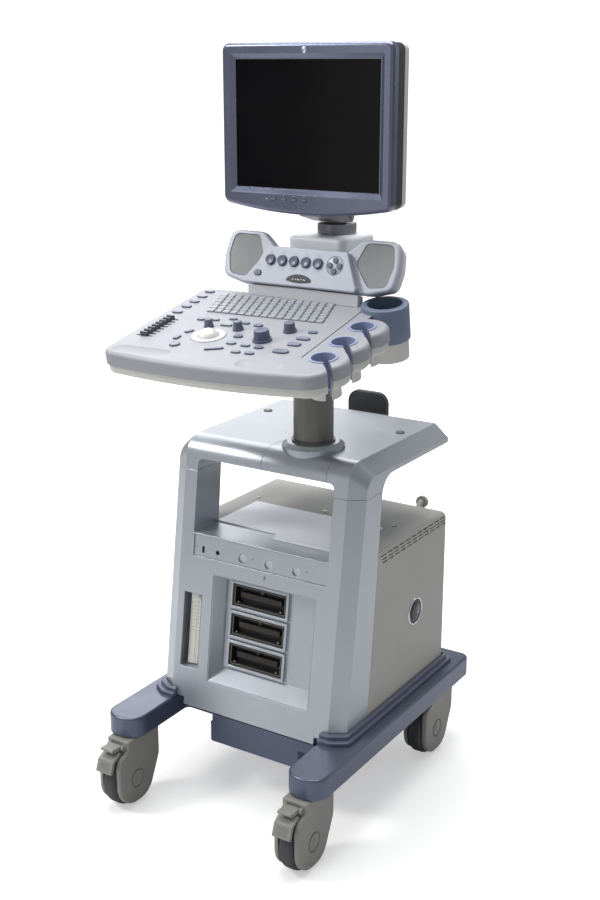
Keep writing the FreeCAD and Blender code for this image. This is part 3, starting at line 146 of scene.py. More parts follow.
def finish(name, rgb, rough, metal=0.0, grain=0.12, grain_scale=1100.0, mottle=0.05, wear=0.25,
           soften=0.9, coat=0.0, flake=0.0, dust=0.10, streak=None, pattern=None):
    """A moulded or painted surface: soft edges, fine grain, slow colour drift, rubbed edges and dust."""
    made = Nodes(name)
    color = linear(rgb)
    bevel = made.add("ShaderNodeBevel", samples=4)
    bevel.inputs["Radius"].default_value = soften * MM
    flat = made.add("ShaderNodeNewGeometry").outputs["Normal"]
    turn = made.add("ShaderNodeVectorMath", operation="DOT_PRODUCT")
    made.link(bevel.outputs[0], turn.inputs[0])
    made.link(flat, turn.inputs[1])
    edge = made.ramp(turn.outputs["Value"], (0.995, 0.86, 0.0, 1.0))
    scuffs = made.ramp(made.noise(70.0, 5.0), (0.42, 0.68, 0.0, 1.0))
    worn = made.math("MULTIPLY", made.math("MULTIPLY", edge, scuffs), wear)

    drift = made.ramp(made.noise(5.0, 3.0), (0.3, 0.7, 0.0, 1.0))
    tone = made.mix(drift, shade(color, 1 - mottle), shade(color, 1 + mottle))
    fine = made.ramp(made.noise(grain_scale * 0.8, 2.0), (0.35, 0.65, 0.0, 1.0))
    speck = made.math("MULTIPLY", fine, 0.10 + flake)
    tone = made.mix(speck, tone, shade(color, 1.25 if flake else 0.86))
    if streak:
        lines = made.ramp(made.noise(1.0, 4.0, made.stretched(*streak)), (0.4, 0.62, 0.0, 0.35))
        tone = made.mix(lines, tone, shade(color, 1.3))
    tone = made.mix(worn, tone, shade(color, 1.55))
    settled = made.add("ShaderNodeSeparateXYZ")
    made.link(flat, settled.inputs[0])
    on_top = made.ramp(settled.outputs["Z"], (0.55, 1.0, 0.0, 1.0))
    dusty = made.math("MULTIPLY", made.math("MULTIPLY", on_top, made.noise(22.0, 6.0, None, 0.65)), dust)
    tone = made.mix(dusty, tone, (0.62, 0.60, 0.56))
    height = fine
    if pattern:
        holes, hole_color = pattern(made)
        tone = made.mix(holes, tone, hole_color)
    made.link(tone, made.shader.inputs["Base Color"])

    patches = made.ramp(made.noise(13.0, 4.0), (0.25, 0.75, rough - 0.05, rough + 0.06))
    rough_dust = made.math("MULTIPLY", dusty, 0.35)
    made.link(made.math("ADD", patches, rough_dust), made.shader.inputs["Roughness"])
    made.shader.inputs["Metallic"].default_value = metal
    made.shader.inputs["Coat Weight"].default_value = coat
    made.shader.inputs["Coat Roughness"].default_value = 0.12

    bump = made.add("ShaderNodeBump")
    bump.inputs["Strength"].default_value = grain
    bump.inputs["Distance"].default_value = 0.15 * MM
    made.link(height, bump.inputs["Height"])
    made.link(bevel.outputs[0], bump.inputs["Normal"])
    normal = bump.outputs[0]
    if pattern:
        dents = made.add("ShaderNodeBump", invert=True)
        dents.inputs["Strength"].default_value = 0.9
        dents.inputs["Distance"].default_value = 0.8 * MM
        made.link(holes, dents.inputs["Height"])
        made.link(normal, dents.inputs["Normal"])
        normal = dents.outputs[0]
    made.link(normal, made.shader.inputs["Normal"])
    return made.material


def perforation(made):
    """Rows of small round holes across the speaker grilles, in the leaning plane of the bar."""
    across = made.add("ShaderNodeVectorMath", operation="DOT_PRODUCT")
    across.inputs[1].default_value = (RIGHT * 0.7071 + bar_up * 0.7071)
    along = made.add("ShaderNodeVectorMath", operation="DOT_PRODUCT")
    along.inputs[1].default_value = (bar_up * 0.7071 - RIGHT * 0.7071)
    plane = made.add("ShaderNodeCombineXYZ")
    for node, socket in ((across, plane.inputs[0]), (along, plane.inputs[1])):
        made.link(made.object_coords, node.inputs[0])
        made.link(node.outputs["Value"], socket)
    cells = made.add("ShaderNodeTexVoronoi", voronoi_dimensions="2D", feature="F1")
    cells.inputs["Scale"].default_value = 520.0
    cells.inputs["Randomness"].default_value = 0.0
    made.link(plane.outputs[0], cells.inputs["Vector"])
    return made.ramp(cells.outputs["Distance"], (0.36, 0.28, 0.0, 0.85)), linear((52, 53, 58))


def tread(made):
    """Faint rings of scuffed dust round a tyre's tread."""
    rings = made.noise(1.0, 3.0, made.stretched(900.0, 6.0, 6.0))
    return made.ramp(rings, (0.52, 0.72, 0.0, 0.30)), linear((118, 117, 112))


def screen_finish():
    """A dark panel behind low-glare glass: almost black, with a faint bluish bloom and fine dust."""
    made = Nodes("screen_glass")
    bloom = made.ramp(made.noise(3.0, 2.0), (0.3, 0.7, 0.0, 1.0))
    tone = made.mix(bloom, linear((5, 5, 7)), linear((11, 10, 12)))
    motes = made.ramp(made.noise(620.0, 3.0), (0.70, 0.76, 0.0, 0.08))
    tone = made.mix(motes, tone, linear((80, 80, 84)))
    made.link(tone, made.shader.inputs["Base Color"])
    smear = made.ramp(made.noise(9.0, 6.0), (0.35, 0.75, 0.16, 0.26))
    made.link(smear, made.shader.inputs["Roughness"])
    made.shader.inputs["Specular IOR Level"].default_value = 0.12
    bump = made.add("ShaderNodeBump")
    bump.inputs["Strength"].default_value = 0.04
    bump.inputs["Distance"].default_value = 0.05 * MM
    made.link(made.noise(1500.0, 2.0), bump.inputs["Height"])
    made.link(bump.outputs[0], made.shader.inputs["Normal"])
    return made.material


FINISHES = {
    "base_paint": dict(rgb=(84, 91, 113), rough=0.34, metal=0.55, grain=0.1, grain_scale=1500, mottle=0.05,
                       wear=0.45, soften=1.4, coat=0.25, flake=0.35, dust=0.14),
    "collar_plastic": dict(rgb=(88, 94, 116), rough=0.42, metal=0.3, grain=0.14, grain_scale=1300,
                           mottle=0.05, wear=0.4, soften=1.0, coat=0.05, flake=0.1, dust=0.16),
    "castor_plastic": dict(rgb=(136, 137, 131), rough=0.5, metal=0.0, grain=0.2, grain_scale=900,
                           mottle=0.05, wear=0.15, soften=1.4, coat=0.0, flake=0.0, dust=0.12),
    "pedal_plastic": dict(rgb=(134, 135, 130), rough=0.46, metal=0.0, grain=0.22, grain_scale=850,
                          mottle=0.06, wear=0.2, soften=0.8, coat=0.0, flake=0.0, dust=0.12),
    "tyre": dict(rgb=(58, 61, 63), rough=0.62, metal=0.0, grain=0.3, grain_scale=700, mottle=0.1, wear=0.1,
                 soften=1.5, coat=0.0, flake=0.0, dust=0.18, pattern=tread),
    "steel": dict(rgb=(170, 171, 172), rough=0.28, metal=1.0, grain=0.06, grain_scale=1600, mottle=0.04,
                  wear=0.2, soften=0.4, streak=(20, 20, 900), dust=0.03),
    "cover_silver": dict(rgb=(168, 173, 181), rough=0.33, metal=0.6, grain=0.08, grain_scale=1700,
                         mottle=0.03, wear=0.3, soften=1.8, coat=0.15, flake=0.3, dust=0.05),
    "cover_pale": dict(rgb=(226, 229, 236), rough=0.42, metal=0.12, grain=0.1, grain_scale=1500,
                       mottle=0.03, wear=0.15, soften=1.4, coat=0.05, flake=0.08, dust=0.05),
    "casing_paint": dict(rgb=(166, 166, 162), rough=0.56, metal=0.0, grain=0.55, grain_scale=620,
                         mottle=0.03, wear=0.12, soften=1.2, coat=0.0, flake=0.0, dust=0.05),
    "panel_metal": dict(rgb=(150, 151, 150), rough=0.44, metal=0.3, grain=0.25, grain_scale=900,
                        mottle=0.04, wear=0.2, soften=0.5, dust=0.04),
    "socket_dark": dict(rgb=(30, 30, 32), rough=0.45, metal=0.0, grain=0.16, grain_scale=1100, mottle=0.08,
                        wear=0.35, soften=0.5, dust=0.02),
    "card": dict(rgb=(224, 223, 214), rough=0.62, metal=0.0, grain=0.2, grain_scale=600, mottle=0.04,
                 wear=0.05, soften=0.3, dust=0.02),
    "hook_rubber": dict(rgb=(44, 47, 49), rough=0.55, metal=0.0, grain=0.35, grain_scale=800, mottle=0.08,
                        wear=0.25, soften=1.2, dust=0.1),
    "board": dict(rgb=(36, 84, 48), rough=0.45, metal=0.0, grain=0.3, grain_scale=500, mottle=0.1, wear=0.2,
                  soften=0.4),
    "supply_metal": dict(rgb=(150, 152, 154), rough=0.4, metal=0.8, grain=0.2, grain_scale=900, mottle=0.05,
                         wear=0.2, soften=0.6),
    "column_paint": dict(rgb=(98, 98, 94), rough=0.36, metal=0.45, grain=0.1, grain_scale=1400, mottle=0.04,
                         wear=0.3, soften=1.0, coat=0.1, flake=0.15, dust=0.05, streak=(260, 260, 5)),
    "console_top": dict(rgb=(150, 152, 159), rough=0.5, metal=0.0, grain=0.34, grain_scale=800, mottle=0.03,
                        wear=0.18, soften=1.2, dust=0.03),
    "console_shell": dict(rgb=(196, 196, 193), rough=0.44, metal=0.0, grain=0.16, grain_scale=1000,
                          mottle=0.03, wear=0.12, soften=1.2, dust=0.03),
    "key_caps": dict(rgb=(152, 155, 162), rough=0.46, metal=0.0, grain=0.22, grain_scale=1300, mottle=0.03,
                     wear=0.2, soften=0.6, dust=0.03),
    "button_caps": dict(rgb=(98, 104, 124), rough=0.34, metal=0.0, grain=0.08, grain_scale=1500,
                        mottle=0.06, wear=0.4, soften=0.8, coat=0.2, dust=0.03),
    "slider_caps": dict(rgb=(70, 73, 84), rough=0.42, metal=0.0, grain=0.15, grain_scale=1400, mottle=0.06,
                        wear=0.5, soften=0.6, dust=0.03),
    "ball": dict(rgb=(216, 215, 208), rough=0.22, metal=0.0, grain=0.02, grain_scale=1500, mottle=0.02,
                 wear=0.0, soften=0.1, coat=0.4, dust=0.0),
    "ring": dict(rgb=(196, 198, 204), rough=0.3, metal=0.2, grain=0.06, grain_scale=1500, mottle=0.03,
                 wear=0.2, soften=0.6, coat=0.3, dust=0.02),
    "knob_grey": dict(rgb=(92, 98, 116), rough=0.44, metal=0.0, grain=0.18, grain_scale=1200, mottle=0.05,
                      wear=0.45, soften=0.6, dust=0.03),
    "knob_blue": dict(rgb=(84, 92, 116), rough=0.42, metal=0.0, grain=0.18, grain_scale=1200, mottle=0.05,
                      wear=0.45, soften=0.8, dust=0.03),
    "cup_rubber": dict(rgb=(142, 152, 182), rough=0.5, metal=0.0, grain=0.14, grain_scale=1200, mottle=0.05,
                       wear=0.25, soften=0.8, dust=0.03),
    "gel_plastic": dict(rgb=(104, 117, 140), rough=0.36, metal=0.0, grain=0.1, grain_scale=1200,
                        mottle=0.05, wear=0.25, soften=1.0, coat=0.1, dust=0.03),
    "bar_plastic": dict(rgb=(170, 175, 186), rough=0.4, metal=0.08, grain=0.12, grain_scale=1400,
                        mottle=0.03, wear=0.2, soften=1.2, coat=0.05, flake=0.05, dust=0.04),
    "bar_shell": dict(rgb=(206, 208, 212), rough=0.44, metal=0.0, grain=0.16, grain_scale=1000, mottle=0.03,
                      wear=0.12, soften=1.2, dust=0.03),
    "grille": dict(rgb=(158, 160, 162), rough=0.5, metal=0.1, grain=0.12, grain_scale=1400, mottle=0.03,
                   wear=0.05, soften=0.5, dust=0.03, pattern=perforation),
    "neck_shell": dict(rgb=(222, 225, 230), rough=0.42, metal=0.0, grain=0.14, grain_scale=1000,
                       mottle=0.03, wear=0.12, soften=1.4, dust=0.04),
    "neck_metal": dict(rgb=(132, 131, 138), rough=0.38, metal=0.45, grain=0.12, grain_scale=1300,
                       mottle=0.05, wear=0.3, soften=0.9, coat=0.05, flake=0.1, dust=0.04),
    "bezel": dict(rgb=(103, 108, 127), rough=0.27, metal=0.65, grain=0.05, grain_scale=1800, mottle=0.02,
                  wear=0.05, soften=1.2, coat=0.2, flake=0.25, dust=0.02),
    "monitor_dark": dict(rgb=(44, 47, 49), rough=0.45, metal=0.0, grain=0.2, grain_scale=1000, mottle=0.06,
                         wear=0.3, soften=1.0, dust=0.04),
    "monitor_shell": dict(rgb=(196, 198, 200), rough=0.46, metal=0.0, grain=0.24, grain_scale=900,
                          mottle=0.03, wear=0.15, soften=1.6, dust=0.03),
    "ink": dict(rgb=(96, 100, 112), rough=0.6, metal=0.0, grain=0.05, grain_scale=1500, mottle=0.05,
                wear=0.0, soften=0.02, dust=0.0),
    "pale_ink": dict(rgb=(206, 210, 216), rough=0.55, metal=0.0, grain=0.05, grain_scale=1500, mottle=0.05,
                     wear=0.0, soften=0.02, dust=0.0),
    "badge_silver": dict(rgb=(205, 208, 214), rough=0.2, metal=0.9, grain=0.04, grain_scale=1600,
                         mottle=0.03, wear=0.2, soften=0.3, dust=0.0, streak=(600, 600, 600)),
    "badge_dark": dict(rgb=(30, 32, 38), rough=0.42, metal=0.0, grain=0.05, grain_scale=1500, mottle=0.05,
                       wear=0.2, soften=0.3, dust=0.0),
    "contact_gold": dict(rgb=(176, 148, 92), rough=0.32, metal=0.9, grain=0.08, grain_scale=1500,
                         mottle=0.06, wear=0.2, soften=0.1, dust=0.0),
    "port_trim": dict(rgb=(124, 122, 108), rough=0.38, metal=0.7, grain=0.1, grain_scale=1500, mottle=0.06,
                      wear=0.3, soften=0.2, dust=0.0),
    "bumper": dict(rgb=(88, 90, 96), rough=0.55, metal=0.0, grain=0.2, grain_scale=1000, mottle=0.06,
                   wear=0.2, soften=0.4, dust=0.05),
}
looks = {name: finish(name, **values) for name, values in FINISHES.items()}
looks["screen"] = screen_finish()
looks["strip_dark"] = looks["cover_silver"]

slot_of = {piece["node"]: piece["material_slot"] for piece in frame["record"]["subparts"]}
slot_of["platform_shell"] = "cover_silver"
for name, node in nodes.items():
    node.data.materials.clear()
    node.data.materials.append(looks[slot_of[name]])


# ---------------------------------------------------------------- reading faces of the CAD nodes

def faces_towards(name, direction, least=0.999):
    """Centre, width and depth of each flat CAD face of a node that looks in a direction."""
    mesh = nodes[name].data
    group = {}

    def root(vertex):
        while group.get(vertex, vertex) != vertex:
            vertex = group[vertex]
        return vertex

    wanted = [p for p in mesh.polygons if p.normal.dot(direction) > least]
    for polygon in wanted:
        first = root(polygon.vertices[0])
        for vertex in polygon.vertices[1:]:
            group[root(vertex)] = first
    found = {}
    for polygon in wanted:
        found.setdefault(root(polygon.vertices[0]), set()).update(polygon.vertices)
    side = direction.cross(RIGHT if abs(direction.x) < 0.9 else BACK).normalized()
    other = direction.cross(side)
    faces = []
    for members in found.values():
        points = [mesh.vertices[i].co for i in members]
        across = [p.dot(other) for p in points]
        along = [p.dot(side) for p in points]
        middle = other * (min(across) + max(across)) / 2 + side * (min(along) + max(along)) / 2
        middle += direction * points[0].dot(direction)
        faces.append((middle, max(across) - min(across), max(along) - min(along)))
    return faces


# ---------------------------------------------------------------- making detail pieces

def axes(right, up):
    """A turn that takes X to right and Z to up."""
    right = right.normalized()
    up = (up - right * up.dot(right)).normalized()
    matrix = Matrix.Identity(3)
    matrix.col[0] = right
    matrix.col[1] = up.cross(right)
    matrix.col[2] = up
    return matrix.to_4x4()


def add_piece(name, mesh, look, body, place=Matrix.Identity(4), smooth=True):
    """Put a finished mesh into the scene, on its CAD body."""
    bmesh.ops.recalc_face_normals(mesh, faces=mesh.faces)
    data = bpy.data.meshes.new(name)
    mesh.transform(place)
    mesh.to_mesh(data)
    mesh.free()
    data.materials.append(looks[look])
    piece = bpy.data.objects.new(name, data)
    bpy.context.scene.collection.objects.link(piece)
    if smooth:
        data.shade_smooth()
        data.set_sharp_from_angle(angle=math.radians(38))
    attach(piece, body)
    return piece


def lathe(mesh, profile, place=Matrix.Identity(4), steps=48):
    """Turn a profile of (radius, height) points about Z."""
    rings = []
    for radius, height in profile:
        if radius < 1e-7:
            rings.append([mesh.verts.new(place @ Vector((0, 0, height)))])
            continue
        rings.append([mesh.verts.new(place @ Vector((radius * math.cos(2 * math.pi * i / steps),
                                                     radius * math.sin(2 * math.pi * i / steps), height)))
                      for i in range(steps)])
    for low, high in zip(rings, rings[1:]):
        for i in range(steps):
            j = (i + 1) % steps
            if len(low) == 1:
                mesh.faces.new((low[0], high[i], high[j]))
            elif len(high) == 1:
                mesh.faces.new((low[i], high[0], low[j]))
            else:
                mesh.faces.new((low[i], high[i], high[j], low[j]))


def slab(mesh, outline, low, high, place=Matrix.Identity(4), edge=0.0):
    """A flat plate of any outline in XY, with a narrow chamfer round its top."""
    middle = sum((Vector(p) for p in outline), Vector((0, 0))) / len(outline)
    levels = [(0.0, low), (0.0, high - edge), (edge, high)] if edge else [(0.0, low), (0.0, high)]
    rings = []
    for inset, height in levels:
        ring = []
        for point in outline:
            away = Vector(point) - middle
            pulled = middle + away * (1 - inset / max(away.length, 1e-6))
            ring.append(mesh.verts.new(place @ Vector((pulled.x, pulled.y, height))))
        rings.append(ring)
    count = len(outline)
    for lower, upper in zip(rings, rings[1:]):
        for i in range(count):
            j = (i + 1) % count
            mesh.faces.new((lower[i], lower[j], upper[j], upper[i]))
    mesh.faces.new(rings[0][::-1])
    mesh.faces.new(rings[-1])


def round_rectangle(width, height, radius, x=0.0, y=0.0, steps=5):
    points = []
    for corner, (a, b) in enumerate(((1, 1), (-1, 1), (-1, -1), (1, -1))):
        for i in range(steps + 1):
            angle = math.pi / 2 * (corner + i / steps)
            points.append((x + a * (width / 2 - radius) + radius * math.cos(angle),
                           y + b * (height / 2 - radius) + radius * math.sin(angle)))
    return points


def mm(*points):
    """A lathe profile given in millimetres."""
    return [(radius * MM, height * MM) for radius, height in points]


def dash(mesh, place, width, height, x=0.0, y=0.0):
    """A thin printed stroke."""
    slab(mesh, round_rectangle(width, height, min(width, height) * 0.45, x, y, 3), 0.0, 0.05 * MM, place)


def at(point, turn):
    return Matrix.Translation(point) @ turn


# ---------------------------------------------------------------- keyboard legends

flat_on_console = axes(console_right, console_up)
legends = bmesh.new()
keys = sorted(faces_towards("keyboard_keys", console_up),
              key=lambda face: (round(face[0].dot(console_back), 3), face[0].dot(console_right)))
for number, (middle, width, depth) in enumerate(keys):
    if width < 8 * MM:
        continue
    place = at(middle + console_up * 0.02 * MM, flat_on_console)
    kind = (number * 7) % 5
    dash(legends, place, (1.6 + 0.5 * kind) * MM, 0.55 * MM, (-2.6 + 0.2 * kind) * MM, 2.4 * MM)
    if kind in (1, 3):
        dash(legends, place, 1.8 * MM, 0.5 * MM, -2.4 * MM, 0.6 * MM)
    if kind == 4:
        dash(legends, place, 0.55 * MM, 1.8 * MM, -0.6 * MM, 1.6 * MM)
add_piece("key_legends", legends, "ink", "keyboard", smooth=False)

# ---------------------------------------------------------------- marks beside the push buttons

BUTTON_PROUD = 2.96 * MM
marks = bmesh.new()
for number, (middle, width, depth) in enumerate(faces_towards("push_buttons", console_up)):
    if width < 4 * MM:
        continue
    side = 1 if number % 3 else -1
    rise = depth / 2 + 3.4 * MM
    place = at(middle - console_up * BUTTON_PROUD + console_back * rise * side, flat_on_console)
    dash(marks, place, (5.0 + 1.6 * (number % 3)) * MM, 0.7 * MM)
add_piece("button_marks", marks, "ink", "console", smooth=False)

# ---------------------------------------------------------------- control bar: badge, marks

flat_on_bar = axes(RIGHT, -bar_in)
bar_faces = faces_towards("bar_front", -bar_in)
panel = max(bar_faces, key=lambda face: face[1])
panel_low = panel[0] - bar_up * panel[2] / 2


def on_bar(x, s):
    """A point of the bar's face, x from the middle of the machine and s up from its lower edge."""
    return Vector((x * MM, panel_low.y, panel_low.z)) + bar_up * s * MM


half_moon = []
for i in range(25):
    angle = math.pi * i / 24
    half_moon.append((27 * MM * math.cos(angle), 12.5 * MM * math.sin(angle)))
for i in range(1, 16):
    t = i / 16
    half_moon.append(((-27 + 54 * t) * MM, -3.4 * MM * math.sin(math.pi * t)))
badge = bmesh.new()
slab(badge, half_moon, 0.0, 1.2 * MM, edge=0.5 * MM)
add_piece("bar_badge", badge, "badge_dark", "console", at(on_bar(-5, 8), flat_on_bar))
inlay = bmesh.new()
for i in range(5):
    dash(inlay, Matrix.Translation((0, 0, 1.21 * MM)), 4.4 * MM, 1.5 * MM, (-12 + i * 6) * MM, 3.0 * MM)
add_piece("bar_badge_inlay", inlay, "badge_silver", "console",
          at(on_bar(-5, 8), flat_on_bar), smooth=False)
marks = bmesh.new()
for middle, width, depth in faces_towards("bar_buttons", -bar_in, 0.95):
    if width < 10 * MM:
        continue
    above = (middle - panel_low).dot(bar_up) / MM + 14.5
    place = at(on_bar(middle.x / MM, above) - bar_in * 0.02 * MM, flat_on_bar)
    dash(marks, place, 5.5 * MM, 0.7 * MM)
add_piece("bar_marks", marks, "ink", "console", smooth=False)

nav_faces = sorted(faces_towards("nav_pad", -bar_in), key=lambda face: -face[1])
plate = bmesh.new()
lathe(plate, mm((0, 0), (16.9, 0), (16.9, 0.3), (16.2, 0.6), (0, 0.6)))
add_piece("nav_plate", plate, "bar_plastic", "nav", at(nav_faces[0][0], flat_on_bar))

# ---------------------------------------------------------------- the blue sleeve of the gel cup's holder

gel_rim = max(faces_towards("gel_cup", console_up), key=lambda face: face[0].z)
sleeve = bmesh.new()
lathe(sleeve, mm((35.3, -10), (35.3, -0.6), (41.6, -0.6), (42.9, -1.2), (43.5, -2.6), (43.5, -64),
                 (42.6, -65), (39.5, -65), (35.3, -10)), steps=96)
add_piece("gel_sleeve", sleeve, "gel_plastic", "console", at(gel_rim[0], flat_on_console))

# ---------------------------------------------------------------- monitor: badge, marks, back screws

low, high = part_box("monitor_bezel")
face_turn = axes(RIGHT, -BACK)
badge_z = high.z - 13.5 * MM
badge = bmesh.new()
lathe(badge, mm((0, -1), (5.6, -1), (5.6, 0.7), (5.1, 1.1), (4.5, 0.8), (4.0, 1.0), (2.2, 1.4), (0, 1.5)))
add_piece("monitor_badge", badge, "badge_silver", "monitor",
          at(Vector((0, low.y, badge_z)), face_turn))
marks = bmesh.new()
key_low, key_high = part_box("monitor_buttons")
for i in range(4):
    x = key_low.x + 5.4 * MM + 22 * MM * i
    dash(marks, at(Vector((x, low.y - 0.03 * MM, key_high.z + 4 * MM)), face_turn), 3.0 * MM, 0.6 * MM)
lamp = bmesh.new()
lathe(lamp, mm((1.3, -0.6), (1.3, 0.1), (0.9, 0.4), (0, 0.5)), steps=24)
add_piece("monitor_marks", marks, "pale_ink", "monitor", smooth=False)
add_piece("monitor_lamp", lamp, "badge_silver", "monitor",
          at(Vector((key_low.x - 9 * MM, low.y, (key_low.z + key_high.z) / 2)), face_turn))


def screw(mesh, point, direction, radius=3.0 * MM):
    """A screw with a round recess in its head, its head standing a little proud."""
    turn = axes(direction.orthogonal(), direction)
    place = at(point, turn)
    profile = [(radius, -0.5 * MM), (radius, 0.5 * MM), (radius * 0.82, 1.0 * MM),
               (radius * 0.42, 1.2 * MM), (radius * 0.36, 0.7 * MM), (0, 0.5 * MM)]
    lathe(mesh, profile, place, 24)


low_back, high_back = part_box("monitor_back")
screws = bmesh.new()
for x in (-150 * MM, 150 * MM):
    for z in (low_back.z + 38 * MM, high_back.z - 30 * MM):
        screw(screws, Vector((x, high_back.y, z)), BACK)
arm_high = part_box("monitor_arm")[1]
for x in (-20 * MM, 20 * MM):
    for z in (arm_high.z - 14 * MM, arm_high.z - 44 * MM):
        screw(screws, Vector((x, high_back.y + 9 * MM, z)), BACK, 3.6 * MM)
add_piece("monitor_screws", screws, "steel", "monitor")

# ---------------------------------------------------------------- cart side badges

casing_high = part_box("rear_casing")[1]
for side, name in ((1, "right"), (-1, "left")):
    turn = axes(BACK * side, RIGHT * side)
    place = at(Vector((side * casing_high.x, 140 * MM, 342 * MM)), turn)
    badge = bmesh.new()
    lathe(badge, mm((0, -0.6), (28, -0.6), (28, 0.6), (27, 1.5), (25.4, 1.6),
                    (24.8, 0.9), (24.5, 0.9)), steps=96)
    add_piece("side_badge_rim_" + name, badge, "badge_silver", "cart", place)
    badge = bmesh.new()
    lathe(badge, mm((24.6, 0.2), (24.6, 1.1), (21.5, 1.4), (20.8, 1.0),
                    (20.0, 1.0), (19.4, 1.5), (9, 2.1), (0, 2.3)), steps=96)
    add_piece("side_badge_" + name, badge, "badge_dark", "cart", place)
    wave = bmesh.new()
    for ring in range(3):
        radius = (6.5 + 4.0 * ring) * MM
        for i in range(10):
            angle = math.radians(-36 + 8 * i)
            rise = (2.25 - 0.22 * ring) * MM
            spot = Matrix.Translation((radius * math.cos(angle), radius * math.sin(angle), rise))
            slab(wave, round_rectangle(1.0 * MM, 1.5 * MM, 0.3 * MM, steps=3), -0.4 * MM, 0.1 * MM,
                 spot @ Matrix.Rotation(angle, 4, "Z"))
    add_piece("side_badge_waves_" + name, wave, "badge_silver", "cart", place, False)

# ---------------------------------------------------------------- ports and strip

FRONT_LEAN = 0.141
lean = math.atan(FRONT_LEAN)
front_out = Vector((0, -math.cos(lean), math.sin(lean)))
front_up = Vector((0, math.sin(lean), math.cos(lean)))
flat_on_front = axes(RIGHT, front_out)
port_faces = sorted((face for face in faces_towards("probe_ports", front_out, 0.998)
                     if face[1] > 80 * MM and face[2] < 40 * MM), key=lambda face: face[0].z)
trims = bmesh.new()
pins = bmesh.new()
screws = bmesh.new()
for middle, width, depth in port_faces:
    if width > 105 * MM:
        continue
    place = at(middle, flat_on_front)
    for i in range(26):
        for row in (-1, 1):
            x = (-42 + i * 84 / 25) * MM
            lathe(pins, mm((0.55, -0.5), (0.55, 1.4), (0.3, 1.8), (0, 1.8)),
                  place @ Matrix.Translation((x, row * 1.8 * MM, 0)), 8)
add_piece("port_pins", pins, "contact_gold", "cart")
port_front = [face for face in faces_towards("probe_ports", front_out, 0.998) if face[1] > 115 * MM]
for middle, width, depth in port_front:
    place = at(middle, flat_on_front)
    inner_w, inner_h = width - 7 * MM, depth - 7 * MM
    for sign in (-1, 1):
        across = round_rectangle(inner_w, 0.9 * MM, 0.3 * MM, 0, sign * inner_h / 2, 3)
        upright = round_rectangle(0.9 * MM, inner_h, 0.3 * MM, sign * inner_w / 2, 0, 3)
        for trim in (across, upright):
            slab(trims, trim, -0.2 * MM, 0.7 * MM, place, 0.2 * MM)
    for x in (-0.5 * inner_w + 9 * MM, 0.5 * inner_w - 9 * MM):
        spot = middle + RIGHT * x - front_up * (inner_h / 2 - 5.0 * MM) - front_out * 0.2 * MM
        screw(screws, spot, front_out, 1.8 * MM)
add_piece("port_trims", trims, "port_trim", "cart")
add_piece("port_screws", screws, "steel", "cart")

marks = bmesh.new()
strip_faces = [face for face in faces_towards("control_strip", front_out, 0.998) if face[1] > 200 * MM]
strip_face = max(strip_faces, key=lambda face: face[0].dot(front_out))
for x, width in ((-142, 5), (-106, 4), (-13, 9), (46, 3), (106, 9)):
    place = at(strip_face[0] + RIGHT * x * MM + front_out * 0.02 * MM - front_up * 4 * MM, flat_on_front)
    dash(marks, place, width * MM, 0.8 * MM)
    if width > 4:
        dash(marks, place, width * 0.6 * MM, 0.7 * MM, 0, 2.0 * MM)
arrow = [(-3.4 * MM, 0), (3.4 * MM, 0), (0, 6.0 * MM)]
fascia_face = max(faces_towards("front_fascia", front_out, 0.998), key=lambda face: face[1] * face[2])
spot = fascia_face[0] + front_up * ((452 * MM - fascia_face[0].z) / front_up.z) + RIGHT * 17 * MM
slab(marks, arrow, 0.02 * MM, 0.06 * MM, at(spot, flat_on_front))
dash(marks, at(spot, flat_on_front), 7 * MM, 0.9 * MM, 0, -2.0 * MM)
add_piece("front_marks", marks, "ink", "cart", smooth=False)

card_face = max(faces_towards("pocket_card", front_out, 0.998), key=lambda face: face[1] * face[2])
leaves = bmesh.new()
marks = bmesh.new()
tall = card_face[2]
LEAVES = ((-8, 13, 15, 12, 0), (-4, 9, 17, -10, 3), (2, 10, 14, 22, 6), (5, 4, 16, -6, 2))
for x, ahead, width, turn, short in LEAVES:
    spot = card_face[0] + RIGHT * x * MM + front_out * ahead * MM
    place = at(spot, flat_on_front) @ Matrix.Rotation(math.radians(turn), 4, "Y")
    leaf = round_rectangle(width * MM, tall - short * MM, 1.2 * MM, 0, -short / 2 * MM)
    slab(leaves, leaf, -0.5 * MM, 0.5 * MM, place)
    printed = place @ Matrix.Translation((0, 0, 0.52 * MM))
    for i in range(9):
        dash(marks, printed, (width - 9 + i % 3) * MM, 0.6 * MM, 0.4 * MM, tall * (0.38 - 0.05 * i))
    dash(marks, printed, 0.5 * MM, tall * 0.8, (2.2 - width / 2) * MM, 0)
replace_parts(add_piece("card_booklet", leaves, "card", "cart", smooth=False), "pocket_card")
add_piece("card_print", marks, "ink", "cart", smooth=False)

# ---------------------------------------------------------------- platform bumpers

platform_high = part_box("platform_shell")[1]
bumpers = bmesh.new()
for x in (-152, 152):
    place = Matrix.Translation((x * MM, 164.2 * MM, platform_high.z))
    lathe(bumpers, mm((9.0, 0.05), (9.0, 1.4), (8.2, 2.0), (5.4, 2.1), (4.6, 1.3), (4.5, 0.2)), place, 40)
add_piece("platform_bumpers", bumpers, "bumper", "cart")

# ---------------------------------------------------------------- castors and pedals

